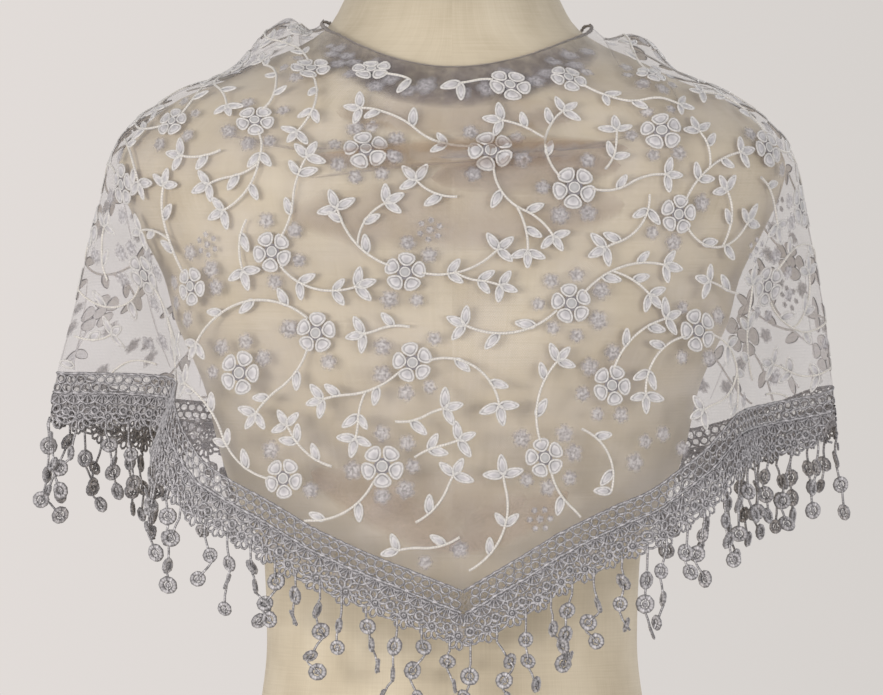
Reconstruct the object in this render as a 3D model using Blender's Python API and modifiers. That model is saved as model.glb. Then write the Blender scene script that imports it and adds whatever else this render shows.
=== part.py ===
"""Chapel veil on a dress form.

A triangle of sheer embroidered net, worn with its point at the front of a limbless dress form.
The long edge lies round the neck with its rim turned in, the two ends go over the shoulders and
cross on the back, and a lace band with a rosette fringe is sewn along the two hem legs.
All the cloth is one draped surface, cut into its stretches.
"""
import math

import bmesh
import bpy
import numpy as np

MM = 0.001

# ---------------------------------------------------------------- driving dimensions, in mm
WALL = 1.2                 # cloth walls
FRINGE_WALL = 1.8          # the rosettes are thicker than the band
SEAM_GAP = 0.7             # between sewn stretches
FRINGE_GAP = 1.1           # between the band and the thicker fringe
WING_GAP = 1.3             # between two stretches' middles at the fold of a wing
CLEAR_OF_FORM = 3.6        # middle of the net to the dress form where it rests
CONTACT_SOFTNESS = 2.0     # how gradually the net leaves the form
FREE_OF_CONTACT = 8.0      # net this many softnesses off the form isn't pushed
TURN_IN_DROP = 2.2         # middle of the turned-in layer under the middle of the net
END_LAYER_GAP = 6.5        # middle of the left end over the middle of the right end
BAND_WIDTH = 35.0          # lace band, square to the hem
HEM_LEAN = 0.6             # how much the band follows the slope of the net above it
FRINGE_LENGTH = 46.0       # rosette strands, hanging straight down

# The linen-covered form: horizontal sections from its flat base to its neck.
FORM_COLUMNS = ("height", "half_width", "front_depth", "back_depth", "squareness")
FORM_SECTIONS = (
    (0.0, 160.0, 98.0, 106.0, 2.2),
    (70.0, 155.0, 98.0, 108.0, 2.2),
    (130.0, 135.0, 92.0, 96.0, 2.2),
    (184.0, 110.5, 86.0, 80.0, 2.2),
    (215.0, 107.5, 84.0, 74.0, 2.2),
    (261.0, 109.0, 88.0, 76.0, 2.2),
    (310.0, 130.0, 99.0, 84.0, 2.3),
    (334.0, 137.0, 106.0, 88.0, 2.35),
    (359.0, 142.5, 116.0, 91.0, 2.4),
    (383.0, 152.0, 126.0, 95.0, 2.45),
    (400.0, 160.0, 128.0, 98.0, 2.5),
    (426.0, 167.0, 120.0, 103.0, 2.5),
    (454.0, 181.0, 110.0, 106.0, 2.5),
    (476.0, 191.0, 103.0, 107.0, 2.45),
    (490.0, 194.0, 99.0, 106.0, 2.4),
    (502.0, 190.0, 96.0, 104.0, 2.35),
    (515.0, 178.0, 92.0, 101.0, 2.3),
    (530.0, 158.0, 86.0, 97.0, 2.25),
    (541.0, 131.0, 80.0, 92.0, 2.2),
    (553.0, 107.0, 72.0, 84.0, 2.1),
    (562.0, 86.0, 68.0, 75.0, 2.0),
    (573.0, 71.0, 66.0, 62.0, 2.0),
    (588.0, 62.5, 64.0, 52.0, 2.0),
    (600.0, 57.0, 61.0, 47.0, 2.0),
    (625.0, 54.0, 60.0, 43.0, 2.0),
)
FORM_RINGS_BETWEEN = 1     # rings added between two table rows taller than FORM_TALL_ROW
FORM_TALL_ROW = 40.0
FORM_SIDES = 36

# Rings of the draped net, from the neck edge down. Each is a closed curve through a front, a left,
# a right and a back point. Droop near 1 is a ring in a tilted plane, and 2 one that stays low in
# front; fullness above 1 draws the sides out into the soft folds of the wings; a tuck is how far
# the net falls in towards the flank, between the front panel and the wing.
RING_COLUMNS = ("front_y", "front_z", "left_x", "left_z", "right_x", "right_z", "back_y", "back_z",
                "droop", "front_fullness", "back_fullness", "left_tuck", "right_tuck")
VEIL_RINGS = (
    (-76.0, 542.0, 73.5, 574.5, 80.5, 573.0, 66.0, 574.0, 1.15, 1.00, 1.00, 0.0, 0.0),    # neck edge
    (-79.0, 537.5, 80.5, 568.5, 90.0, 563.5, 73.0, 567.0, 1.15, 1.00, 1.00, 0.0, 0.0),    # dip by it
    (-82.0, 533.0, 94.5, 577.5, 103.0, 568.5, 81.0, 562.0, 1.20, 1.00, 1.00, 0.0, 0.0),   # crest
    (-85.0, 528.5, 108.0, 570.0, 114.0, 564.0, 88.0, 553.0, 1.30, 1.00, 1.00, 0.0, 0.0),  # its side
    (-89.0, 521.0, 131.0, 543.0, 131.0, 545.0, 95.0, 541.0, 1.50, 1.00, 1.00, 0.0, 0.0),  # its foot
    (-95.0, 507.0, 157.0, 532.5, 157.0, 532.5, 101.0, 526.0, 1.70, 1.00, 1.00, 0.0, 0.0),  # slope
    (-100.0, 490.0, 184.0, 517.0, 184.0, 517.0, 106.0, 507.0, 1.90, 1.00, 1.00, 0.0, 0.0),  # shoulder
    (-107.0, 467.0, 198.0, 495.0, 199.0, 495.0, 110.0, 484.0, 2.00, 1.05, 1.05, 0.0, 0.0),  # its end
    (-118.0, 438.0, 206.0, 467.0, 206.0, 464.0, 113.0, 456.0, 2.00, 1.15, 1.15, 4.0, 2.0),  # arm level
    (-131.0, 398.0, 213.0, 438.0, 212.0, 433.0, 115.0, 424.0, 2.00, 1.25, 1.20, 16.0, 8.0),  # bust
    (-128.0, 345.0, 220.5, 406.0, 217.5, 400.0, 117.0, 388.0, 2.00, 1.32, 1.25, 33.0, 16.0),
    (-122.0, 290.0, 229.5, 372.0, 221.5, 364.0, 120.0, 346.0, 2.00, 1.35, 1.25, 46.0, 22.0),  # wing hems
    (-116.0, 232.0, 236.0, 344.0, 228.5, 332.0, 122.0, 306.0, 2.00, 1.35, 1.25, 48.0, 24.0),
)
TUCK_TURN_DEG, TUCK_REACH_DEG = 64.0, 24.0    # middle and half-width of a tuck, as turns
TUCK_INWARD, TUCK_TOWARDS_SIDE = 0.93, 0.37   # the way the net moves in a tuck
BACK_TUCK_SHARE = 0.35                        # the tucks are shallower behind

# Heights of the hem round the front, by the turn from straight ahead.
HEM_COLUMNS = ("turn_deg", "height")
POINT_TURN_DEG = 1.5       # the veil's point hangs a little to the right
HEM_LEFT = ((-1.5, 249.0), (6.0, 261.0), (12.0, 270.5), (19.0, 283.0), (27.0, 300.0), (33.5, 312.0),
            (38.0, 322.0), (42.0, 337.0), (47.0, 352.0), (58.0, 367.0), (75.0, 371.5), (90.0, 372.0))
HEM_RIGHT = ((1.5, 249.0), (10.0, 268.5), (16.0, 282.0), (25.0, 297.5), (30.0, 304.5), (35.0, 315.5),
             (40.0, 327.0), (46.0, 341.0), (52.0, 349.0), (65.0, 353.5), (75.0, 357.5), (90.0, 364.0))

# The two ends on the back. The long edge falls in a slanting line from the neck, the hem falls away
# from the wing, and the two lines meet at the tip near the other shoulder blade.
END_COLUMNS = ("side", "neck_x", "neck_z", "edge_slope_deg", "wing_x", "tip_turn_deg")
END_LEFT = (-1, -70.0, 574.0, 53.5, -229.5, 207.0)
END_RIGHT = (1, 76.0, 572.0, 54.5, 221.5, 207.0)
END_HEM_COLUMNS = ("in_from_wing", "height")
END_HEM_LEFT = ((-20.0, 372.0), (0.0, 372.0), (45.0, 358.0), (100.0, 352.0), (230.0, 342.0), (340.0, 336.0))
END_HEM_RIGHT = ((-20.0, 364.0), (0.0, 364.0), (40.0, 350.0), (80.0, 338.0), (230.0, 326.0), (340.0, 322.0))
SHORTEST_END_ROW = 7.0
LIFT_FROM_DEG, LIFT_TO_DEG = 112.0, 150.0   # where the left end rises over the right one

# Creases, as soft ridges (rise above 0) and troughs (below 0). Each runs between two places on the
# front or the back, bowed downward in between, and fades out at its ends.
CREASE_COLUMNS = ("face", "x1", "z1", "x2", "z2", "bow", "half_width", "rise")
FRONT, BACK = 1, -1
CREASE_FULL_SHARE, CREASE_FADE_SHARE = 0.66, 0.12   # of a crease's length: at full rise, fading
FACE_BLEND = 8.0                                    # how gradually front creases end at the sides
CREASES = (
    (FRONT, -98.0, 499.0, 88.0, 502.0, 7.0, 7.0, 5.5),       # soft roll across the chest
    (FRONT, -86.0, 485.0, 40.0, 490.0, 5.0, 6.0, -2.5),      # dip below it
    (FRONT, -196.0, 446.0, -184.0, 382.0, 0.0, 9.0, 5.0),    # down the left wing
    (FRONT, 190.0, 446.0, 196.0, 372.0, 0.0, 9.0, 5.0),      # down the right wing
    (FRONT, 108.0, 546.0, 128.0, 500.0, 0.0, 9.0, 3.5),      # from the crests onto the chest
    (FRONT, -100.0, 556.0, -74.0, 512.0, 0.0, 8.0, 4.5),
    (FRONT, -62.0, 546.0, -40.0, 508.0, 0.0, 7.0, 2.5),
    (FRONT, 66.0, 546.0, 40.0, 512.0, 0.0, 8.0, 2.5),
    (BACK, -118.0, 424.0, -132.0, 290.0, 0.0, 13.0, 5.0),    # down the back
    (BACK, 118.0, 436.0, 108.0, 290.0, 0.0, 12.0, 6.0),
    (BACK, -98.0, 540.0, 52.0, 440.0, 6.0, 10.0, 4.0),       # along the left end as it crosses
    (BACK, -128.0, 512.0, 40.0, 384.0, 8.0, 12.0, 3.5),
    (BACK, 104.0, 538.0, 62.0, 500.0, 2.0, 10.0, 3.5),       # along the right one
)

# How deep the long edge is folded under, by the turn from the front.
TURN_IN_COLUMNS = ("turn_deg", "depth")
TURN_IN_DEPTHS = ((0.0, 26.0), (28.0, 28.0), (50.0, 22.0), (62.0, 13.0), (71.0, 6.0))

# Mesh resolution.
FRONT_CELLS = (24, 17)     # across each half, and down
END_CELLS = (26, 11)
TURN_IN_ROWS = 2
TRIM_ROWS = 2              # down the lace and down the fringe
RIB_SAMPLES = 160
SETTLE_PASSES = 3
LEAST_HANG_ANGLE_SINE = 0.5   # trims stop growing longer where the hem runs nearly straight down
NECK_CROWDING = 1.3        # above 1 sets a rib's rows closer together towards the neck

# ---------------------------------------------------------------- start from an empty scene
for old in list(bpy.data.objects):
    bpy.data.objects.remove(old, do_unlink=True)
veil_collection = bpy.data.collections.new("chapel_veil_on_dress_form")
bpy.context.scene.collection.children.link(veil_collection)


# ---------------------------------------------------------------- interpolation
def smooth_through(knots, values, at):
    """A smooth curve through (knots, values) that never swings past its neighbours."""
    knots = np.asarray(knots, float)
    values = np.asarray(values, float)
    at = np.clip(np.asarray(at, float), knots[0], knots[-1])
    step = np.diff(knots)
    slope = np.diff(values) / step
    tangent = np.empty_like(values)
    tangent[0], tangent[-1] = slope[0], slope[-1]
    same_way = slope[:-1] * slope[1:] > 0
    middle = 2.0 * slope[:-1] * slope[1:] / np.where(same_way, slope[:-1] + slope[1:], 1.0)
    tangent[1:-1] = np.where(same_way, middle, 0.0)
    i = np.clip(np.searchsorted(knots, at, side="right") - 1, 0, len(step) - 1)
    t = (at - knots[i]) / step[i]
    start = (1 + 2 * t) * (1 - t) ** 2 * values[i] + t * (1 - t) ** 2 * step[i] * tangent[i]
    end = t * t * (3 - 2 * t) * values[i + 1] + t * t * (t - 1) * step[i] * tangent[i + 1]
    return start + end


def column(table, names, name):
    return [row[names.index(name)] for row in table]


def named(row, names):
    return dict(zip(names, row))


def form_value(name, height):
    heights = column(FORM_SECTIONS, FORM_COLUMNS, "height")
    return smooth_through(heights, column(FORM_SECTIONS, FORM_COLUMNS, name), height)


def ring_value(name, level):
    levels = range(len(VEIL_RINGS))
    return smooth_through(list(levels), column(VEIL_RINGS, RING_COLUMNS, name), level)


# ---------------------------------------------------------------- the dress form's surface
def form_reach(points):
    """1 on the form's surface, less inside it and more outside."""
    x, y, z = points[..., 0], points[..., 1], points[..., 2]
    power = form_value("squareness", z)
    depth = np.where(y < 0, form_value("front_depth", z), form_value("back_depth", z))
    across = (np.abs(x) / form_value("half_width", z)) ** power
    return (across + (np.abs(y) / depth) ** power) ** (1.0 / power)


def off_the_form(points, step=0.5):
    """How far each point stands off the form, and the direction straight out from it."""
    gradient = np.empty_like(points)
    for axis in range(3):
        shift = np.zeros(3)
        shift[axis] = step
        gradient[..., axis] = (form_reach(points + shift) - form_reach(points - shift)) / (2 * step)
    steepness = np.maximum(np.linalg.norm(gradient, axis=-1), 1e-6)
    return (form_reach(points) - 1.0) / steepness, gradient / steepness[..., None]


# ---------------------------------------------------------------- the draped net
def ring_point(turn, level):
    """The drape before it meets the form. turn: radians from the front, left negative."""
    side, ahead = np.sin(turn), np.cos(turn)
    is_left, is_front = side < 0, ahead > 0
    side_x = np.where(is_left, ring_value("left_x", level), ring_value("right_x", level))
    side_z = np.where(is_left, ring_value("left_z", level), ring_value("right_z", level))
    centre_y = np.where(is_front, ring_value("front_y", level), ring_value("back_y", level))
    centre_z = np.where(is_front, ring_value("front_z", level), ring_value("back_z", level))
    fullness = np.where(is_front, ring_value("front_fullness", level),
                        ring_value("back_fullness", level))
    tuck = np.where(is_left, ring_value("left_tuck", level), ring_value("right_tuck", level))
    from_middle = np.degrees(np.arctan2(np.abs(side), np.abs(ahead)))
    off_tuck = np.minimum(np.abs(from_middle - TUCK_TURN_DEG) / TUCK_REACH_DEG, 1.0)
    tuck = tuck * np.cos(off_tuck * math.pi / 2) ** 2
    tuck = tuck * np.where(is_front, 1.0, BACK_TUCK_SHARE)
    x = side_x * side - np.sign(side) * TUCK_INWARD * tuck
    y = centre_y * np.abs(ahead) ** fullness - np.sign(centre_y) * TUCK_TOWARDS_SIDE * tuck
    z = side_z + (centre_z - side_z) * np.abs(ahead) ** ring_value("droop", level)
    return np.stack([x, y, z], axis=-1)


def crease_height(points):
    """The sum of the creases at each point."""
    height = np.zeros(points.shape[:-1])
    for row in CREASES:
        crease = named(row, CREASE_COLUMNS)
        run = np.array([crease["x2"] - crease["x1"], crease["z2"] - crease["z1"]])
        length = float(np.hypot(*run))
        beside, above = points[..., 0] - crease["x1"], points[..., 2] - crease["z1"]
        along = (beside * run[0] + above * run[1]) / length ** 2
        across = (beside * run[1] - above * run[0]) / length
        across = across - crease["bow"] * 4 * np.clip(along * (1 - along), 0, 1)
        past_full = np.maximum(np.abs(along - 0.5) - CREASE_FULL_SHARE / 2, 0.0)
        fade = np.exp(-(past_full / CREASE_FADE_SHARE) ** 2)
        on_face = 1.0 / (1.0 + np.exp(crease["face"] * points[..., 1] / FACE_BLEND))
        profile = np.exp(-(across / crease["half_width"]) ** 2)
        height += crease["rise"] * fade * on_face * profile
    return height


def settle_on_form(points, clearance):
    """Pushes the points out until they stand at least the clearance off the form."""
    for _ in range(SETTLE_PASSES):
        distance, outward = off_the_form(points)
        spare = (distance - clearance) / CONTACT_SOFTNESS
        wanted = clearance + CONTACT_SOFTNESS * np.logaddexp(0.0, spare)
        push = np.where(spare > FREE_OF_CONTACT, 0.0, wanted - distance)
        points = points + outward * push[..., None]
    return points


def net_point(turn, level):
    """A point on the middle of the net."""
    turn, level = np.broadcast_arrays(np.asarray(turn, float), np.asarray(level, float))
    points = ring_point(turn, level)
    points = settle_on_form(points, CLEAR_OF_FORM - CONTACT_SOFTNESS)
    outward = off_the_form(points)[1]
    points = points + outward * crease_height(points)[..., None]
    distance, outward = off_the_form(points)
    short = np.maximum(CLEAR_OF_FORM - distance, 0.0)
    return points + outward * short[..., None]


# ---------------------------------------------------------------- cutting the drape into stretches
def front_hem_height(turn):
    turn_deg = math.degrees(turn)
    table, way = (HEM_LEFT, -1) if turn_deg < POINT_TURN_DEG else (HEM_RIGHT, 1)
    turns, heights = column(table, HEM_COLUMNS, "turn_deg"), column(table, HEM_COLUMNS, "height")
    return float(smooth_through(turns, heights, way * turn_deg))


def crossing(gap, start_at_top):
    """Where a rib's gap to a line goes from above to below, as an index with its fraction."""
    if start_at_top and gap[0] <= 0:
        return 0.0
    below = np.nonzero(gap <= 0)[0]
    if len(below) == 0:
        return float(len(gap) - 1)
    i = max(int(below[0]), 1)
    return i - 1 + gap[i - 1] / (gap[i - 1] - gap[i])


def length_along(path):
    steps = np.linalg.norm(np.diff(path, axis=0), axis=1)
    return np.concatenate([[0.0], np.cumsum(steps)])


def resample(points, first, last, rows, crowding=1.0):
    """Points on the rib between two of its fractional indices, evenly spaced or crowded upward."""
    index = np.arange(len(points))
    fine = np.linspace(first, last, RIB_SAMPLES)
    path = np.stack([np.interp(fine, index, points[:, k]) for k in range(3)], axis=-1)
    run = length_along(path)
    wanted = run[-1] * np.linspace(0.0, 1.0, rows + 1) ** crowding
    return np.stack([np.interp(wanted, run, path[:, k]) for k in range(3)], axis=-1)


def rib(turn):
    """The net from the neck edge down to below every hem, at one turn."""
    levels = np.linspace(0.0, len(VEIL_RINGS) - 1.0, RIB_SAMPLES)
    return net_point(np.full(RIB_SAMPLES, turn), levels)


def front_grid(turns, rows):
    grid = []
    for turn in turns:
        points = rib(turn)
        last = crossing(points[:, 2] - front_hem_height(turn), False)
        grid.append(resample(points, 0.0, last, rows, NECK_CROWDING))
    return np.array(grid)


def end_grid(end, hem_table, turns, rows):
    """The net of one end of the veil, between its long edge and its hem."""
    side, fall = end["side"], math.tan(math.radians(end["edge_slope_deg"]))
    across = column(hem_table, END_HEM_COLUMNS, "in_from_wing")
    heights = column(hem_table, END_HEM_COLUMNS, "height")
    grid = []
    for turn in turns:
        points = rib(turn)
        x, z = points[:, 0], points[:, 2]
        edge_z = end["neck_z"] - fall * (end["neck_x"] - x) * side
        hem_z = smooth_through(across, heights, (end["wing_x"] - x) * side)
        first, last = crossing(z - edge_z, True), crossing(z - hem_z, False)
        shortest = first + SHORTEST_END_ROW / np.linalg.norm(points[-1] - points[-2])
        grid.append(resample(points, first, max(last, shortest), rows))
    return np.array(grid)


def outward_normals(grid):
    """Outward directions on a grid whose columns run from left to right round the front."""
    down = np.gradient(grid, axis=1)
    across = np.gradient(grid, axis=0)
    normal = np.cross(down, across)
    return normal / np.maximum(np.linalg.norm(normal, axis=-1, keepdims=True), 1e-9)


def unit(vectors):
    return vectors / np.maximum(np.linalg.norm(vectors, axis=-1, keepdims=True), 1e-9)


def trim_strip(upper_edge, hang, width, rows):
    """A strip sewn under an edge: it follows the hang direction and is `width` square to the edge."""
    along = unit(np.gradient(upper_edge, axis=0))
    square = hang - along * np.sum(hang * along, axis=-1, keepdims=True)
    angle_sine = np.linalg.norm(square, axis=-1, keepdims=True)
    reach = width / np.maximum(angle_sine, LEAST_HANG_ANGLE_SINE)
    start = upper_edge + hang * SEAM_GAP
    return np.stack([start + hang * reach * k / rows for k in range(rows + 1)], axis=1)


def hang_direction(grid):
    """Mostly straight down, leaning with the net's own slope above the hem."""
    slope = unit(grid[:, -1] - grid[:, -3])
    return unit(slope * HEM_LEAN + np.array([0.0, 0.0, -1.0]) * (1.0 - HEM_LEAN))


def draw_back(grid, ends):
    """Draws a grid's end columns back by half a gap: along the cloth at the point of the veil,
    and straight away from the fold at a wing."""
    grid = grid.copy()
    for column_index, neighbour, end in ((0, 1, ends[0]), (-1, -2, ends[1])):
        away = grid[neighbour] - grid[column_index]
        if end == "point":
            grid[column_index] += unit(away) * SEAM_GAP / 2
        if end == "wing":
            grid[column_index, :, 1] += np.sign(away[:, 1]) * WING_GAP / 2
    return grid


# ---------------------------------------------------------------- Blender objects
def cloth_material(name, colour, roughness, alpha=1.0):
    material = bpy.data.materials.new(name)
    material.use_nodes = True
    shader = material.node_tree.nodes["Principled BSDF"]
    shader.inputs["Base Color"].default_value = (*colour, 1.0)
    shader.inputs["Roughness"].default_value = roughness
    shader.inputs["Metallic"].default_value = 0.0
    shader.inputs["Alpha"].default_value = alpha
    return material


def add_object(name, bm, material):
    bmesh.ops.recalc_face_normals(bm, faces=bm.faces)
    mesh = bpy.data.meshes.new(name)
    bm.to_mesh(mesh)
    bm.free()
    mesh.materials.append(material)
    mesh.shade_smooth()
    thing = bpy.data.objects.new(name, mesh)
    veil_collection.objects.link(thing)
    return thing


def cloth_object(name, grid, wall, material):
    """A wall of cloth on a grid of points in mm, the grid in the middle of the wall."""
    bm = bmesh.new()
    verts = [[bm.verts.new(point * MM) for point in line] for line in grid]
    for left, right in zip(verts, verts[1:]):
        for row in range(len(left) - 1):
            bm.faces.new((left[row], left[row + 1], right[row + 1], right[row]))
    thing = add_object(name, bm, material)
    solidify = thing.modifiers.new("wall", "SOLIDIFY")
    solidify.thickness = wall * MM
    solidify.offset = 0.0
    solidify.use_even_offset = True
    return thing


# ---------------------------------------------------------------- the dress form
def build_dress_form():
    """A loft through the form's sections, with a flat base and a flat neck top."""
    linen = cloth_material("linen", (0.62, 0.52, 0.37), 0.85)
    rows = column(FORM_SECTIONS, FORM_COLUMNS, "height")
    heights = []
    for low, high in zip(rows, rows[1:]):
        parts = 1 + (FORM_RINGS_BETWEEN if high - low > FORM_TALL_ROW else 0)
        heights += [low + (high - low) * k / parts for k in range(parts)]
    heights.append(rows[-1])
    bm = bmesh.new()
    rings = []
    for height in heights:
        power = 2.0 / float(form_value("squareness", height))
        ring = []
        for k in range(FORM_SIDES):
            angle = 2 * math.pi * k / FORM_SIDES
            side, ahead = math.sin(angle), -math.cos(angle)
            depth = float(form_value("front_depth" if ahead < 0 else "back_depth", height))
            x = float(form_value("half_width", height)) * math.copysign(abs(side) ** power, side)
            y = depth * math.copysign(abs(ahead) ** power, ahead)
            ring.append(bm.verts.new((x * MM, y * MM, height * MM)))
        rings.append(ring)
    for low, high in zip(rings, rings[1:]):
        for k in range(FORM_SIDES):
            after = (k + 1) % FORM_SIDES
            bm.faces.new((low[k], low[after], high[after], high[k]))
    bm.faces.new(rings[0])
    bm.faces.new(rings[-1])
    add_object("dress_form", bm, linen)


# ---------------------------------------------------------------- the veil
def build_trims(side_name, place, grid, lace, rosettes, ends):
    """The lace band under a stretch of hem and the fringe under the band."""
    band = trim_strip(grid[:, -1], hang_direction(grid), BAND_WIDTH, TRIM_ROWS)
    band = draw_back(band, ends)
    cloth_object(f"lace_{place}_{side_name}", band, WALL, lace)
    straight_down = np.broadcast_to(np.array([0.0, 0.0, -1.0]), band[:, -1].shape)
    top = band[:, -1] + straight_down * FRINGE_GAP
    fringe = np.stack([top + straight_down * FRINGE_LENGTH * k / TRIM_ROWS
                       for k in range(TRIM_ROWS + 1)], axis=1)
    cloth_object(f"fringe_{place}_{side_name}", fringe, FRINGE_WALL, rosettes)


def build_front(net, lace, rosettes):
    """The front stretch between the two wing folds, with its two hem legs."""
    quarter = math.pi / 2
    point_turn = math.radians(POINT_TURN_DEG)
    across, down = FRONT_CELLS
    left_turns = np.linspace(-quarter, point_turn, across + 1)
    right_turns = np.linspace(point_turn, quarter, across + 1)
    left, right = front_grid(left_turns, down), front_grid(right_turns, down)
    whole = np.concatenate([left, right[1:]])
    cloth_object("net_front", draw_back(whole, ("wing", "wing")), WALL, net)
    build_trims("left", "front", left, lace, rosettes, ("wing", "point"))
    build_trims("right", "front", right, lace, rosettes, ("point", "wing"))
    build_turn_in(np.concatenate([left_turns, right_turns[1:]]), net)


def build_turn_in(turns, net):
    """The long edge folded under along the front of the neck, just inside the net."""
    turn_degs = column(TURN_IN_DEPTHS, TURN_IN_COLUMNS, "turn_deg")
    depths = column(TURN_IN_DEPTHS, TURN_IN_COLUMNS, "depth")
    grid = []
    for turn in turns:
        turn_deg = abs(math.degrees(turn))
        if turn_deg <= turn_degs[-1]:
            points = rib(turn)
            depth = float(smooth_through(turn_degs, depths, turn_deg))
            last = float(np.interp(depth, length_along(points), np.arange(len(points))))
            grid.append(resample(points, 0.0, last, TURN_IN_ROWS))
    grid = np.array(grid)
    cloth_object("neck_turn_in", grid - outward_normals(grid) * TURN_IN_DROP, WALL, net)


def build_end(side_name, end, hem_table, net, lace, rosettes):
    """One end of the veil, from its wing fold across the back to its tip."""
    side, tip_turn = end["side"], math.radians(end["tip_turn_deg"])
    across, down = END_CELLS
    turns = np.sort(side * np.linspace(math.pi / 2, tip_turn, across + 1))
    grid = end_grid(end, hem_table, turns, down)
    if side < 0:
        lift_from, lift_to = math.radians(LIFT_FROM_DEG), math.radians(LIFT_TO_DEG)
        rise = np.clip((np.abs(turns) - lift_from) / (lift_to - lift_from), 0.0, 1.0)
        rise = rise * rise * (3 - 2 * rise) * END_LAYER_GAP
        grid = grid + outward_normals(grid) * rise[:, None, None]
    ends = ("tip", "wing") if side < 0 else ("wing", "tip")
    cloth_object(f"net_tail_{side_name}", draw_back(grid, ends), WALL, net)
    build_trims(side_name, "tail", grid, lace, rosettes, ends)


def main():
    build_dress_form()
    net = cloth_material("embroidered_net", (0.62, 0.60, 0.61), 0.7, 0.5)
    lace = cloth_material("lace_thread", (0.22, 0.20, 0.22), 0.55)
    rosettes = cloth_material("rosette_thread", (0.22, 0.20, 0.22), 0.55)
    build_front(net, lace, rosettes)
    build_end("left", named(END_LEFT, END_COLUMNS), END_HEM_LEFT, net, lace, rosettes)
    build_end("right", named(END_RIGHT, END_COLUMNS), END_HEM_RIGHT, net, lace, rosettes)


main()
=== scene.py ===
"""The looks of a chapel veil worn on a dress form: sheer embroidered net with a lace band and a
rosette fringe, folded round a linen-covered torso. It is built in the order it is put together:
the form, the net, its turned-in edge, the embroidery, the lace, the fringe and the studio."""
import math

import bmesh
import bpy
import numpy as np
from mathutils.bvhtree import BVHTree
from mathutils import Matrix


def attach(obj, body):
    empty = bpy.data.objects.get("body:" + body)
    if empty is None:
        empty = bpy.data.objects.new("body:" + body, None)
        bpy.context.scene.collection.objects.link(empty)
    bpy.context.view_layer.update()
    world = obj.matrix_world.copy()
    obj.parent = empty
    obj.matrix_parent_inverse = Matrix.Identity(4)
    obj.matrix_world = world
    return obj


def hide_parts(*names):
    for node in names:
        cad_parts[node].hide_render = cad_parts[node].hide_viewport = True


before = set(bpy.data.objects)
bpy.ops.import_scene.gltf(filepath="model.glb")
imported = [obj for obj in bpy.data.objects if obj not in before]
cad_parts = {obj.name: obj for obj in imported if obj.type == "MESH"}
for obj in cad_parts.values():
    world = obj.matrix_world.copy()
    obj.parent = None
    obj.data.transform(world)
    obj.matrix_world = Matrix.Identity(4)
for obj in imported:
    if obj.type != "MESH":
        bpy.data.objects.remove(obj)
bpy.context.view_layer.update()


# ================================================================ The dress form
# A limbless foam torso under a tight cover of plain-woven linen. It has a flat base at the hips
# and a short neck, and nothing but the form carries the veil.
MM = 0.001
FORM_COLUMNS = ("height", "half_width", "front_depth", "back_depth", "squareness")
FORM_SECTIONS = (
    (0, 160, 98, 106, 2.2),
    (70, 155, 98, 108, 2.2),
    (130, 135, 92, 96, 2.2),
    (184, 110.5, 86, 80, 2.2),
    (215, 107.5, 84, 74, 2.2),
    (261, 109, 88, 76, 2.2),
    (310, 130, 99, 84, 2.3),
    (334, 137, 106, 88, 2.35),
    (359, 142.5, 116, 91, 2.4),
    (383, 152, 126, 95, 2.45),
    (400, 160, 128, 98, 2.5),
    (426, 167, 120, 103, 2.5),
    (454, 181, 110, 106, 2.5),
    (476, 191, 103, 107, 2.45),
    (490, 194, 99, 106, 2.4),
    (502, 190, 96, 104, 2.35),
    (515, 178, 92, 101, 2.3),
    (530, 158, 86, 97, 2.25),
    (541, 131, 80, 92, 2.2),
    (553, 107, 72, 84, 2.1),
    (562, 86, 68, 75, 2),
    (573, 71, 66, 62, 2),
    (588, 62.5, 64, 52, 2),
    (600, 57, 61, 47, 2),
    (625, 54, 60, 43, 2),
)
FORM_SIDES = 144
FORM_RING_SPACING = 5.0
FORM_RIM_ROUNDING, FORM_RIM_STEPS = 3.0, 5
COVER_PER_RADIAN = 130.0
WELD_DISTANCE = 0.01
LINEN_THREAD = 0.6
THREAD_WANDER_SCALE, SLUB_ALONG, SLUB_ACROSS = 0.09, 0.02, 1.1
LINEN_COLOURS = ((0.30, (0.46, 0.38, 0.265)), (0.52, (0.57, 0.485, 0.355)), (0.72, (0.66, 0.575, 0.44)))
# From the first height to the second the linen darkens to the share: painted shade at the top of the neck.
NECK_SHADE_FROM, NECK_SHADE_TO, NECK_SHADE_SHARE = 540.0, 585.0, 0.81


def smooth_through(knots, values, at):
    """A smooth curve through (knots, values) that never swings past its neighbours."""
    knots = np.asarray(knots, float)
    values = np.asarray(values, float)
    at = np.clip(np.asarray(at, float), knots[0], knots[-1])
    step = np.diff(knots)
    slope = np.diff(values) / step
    tangent = np.empty_like(values)
    tangent[0], tangent[-1] = slope[0], slope[-1]
    same_way = slope[:-1] * slope[1:] > 0
    middle = 2.0 * slope[:-1] * slope[1:] / np.where(same_way, slope[:-1] + slope[1:], 1.0)
    tangent[1:-1] = np.where(same_way, middle, 0.0)
    i = np.clip(np.searchsorted(knots, at, side="right") - 1, 0, len(step) - 1)
    t = (at - knots[i]) / step[i]
    start = (1 + 2 * t) * (1 - t) ** 2 * values[i] + t * (1 - t) ** 2 * step[i] * tangent[i]
    end = t * t * (3 - 2 * t) * values[i + 1] + t * t * (t - 1) * step[i] * tangent[i + 1]
    return start + end


def column(table, names, name):
    return [row[names.index(name)] for row in table]


def named(row, names):
    return dict(zip(names, row))


def form_value(name, height):
    heights = column(FORM_SECTIONS, FORM_COLUMNS, "height")
    return smooth_through(heights, column(FORM_SECTIONS, FORM_COLUMNS, name), height)


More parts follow.
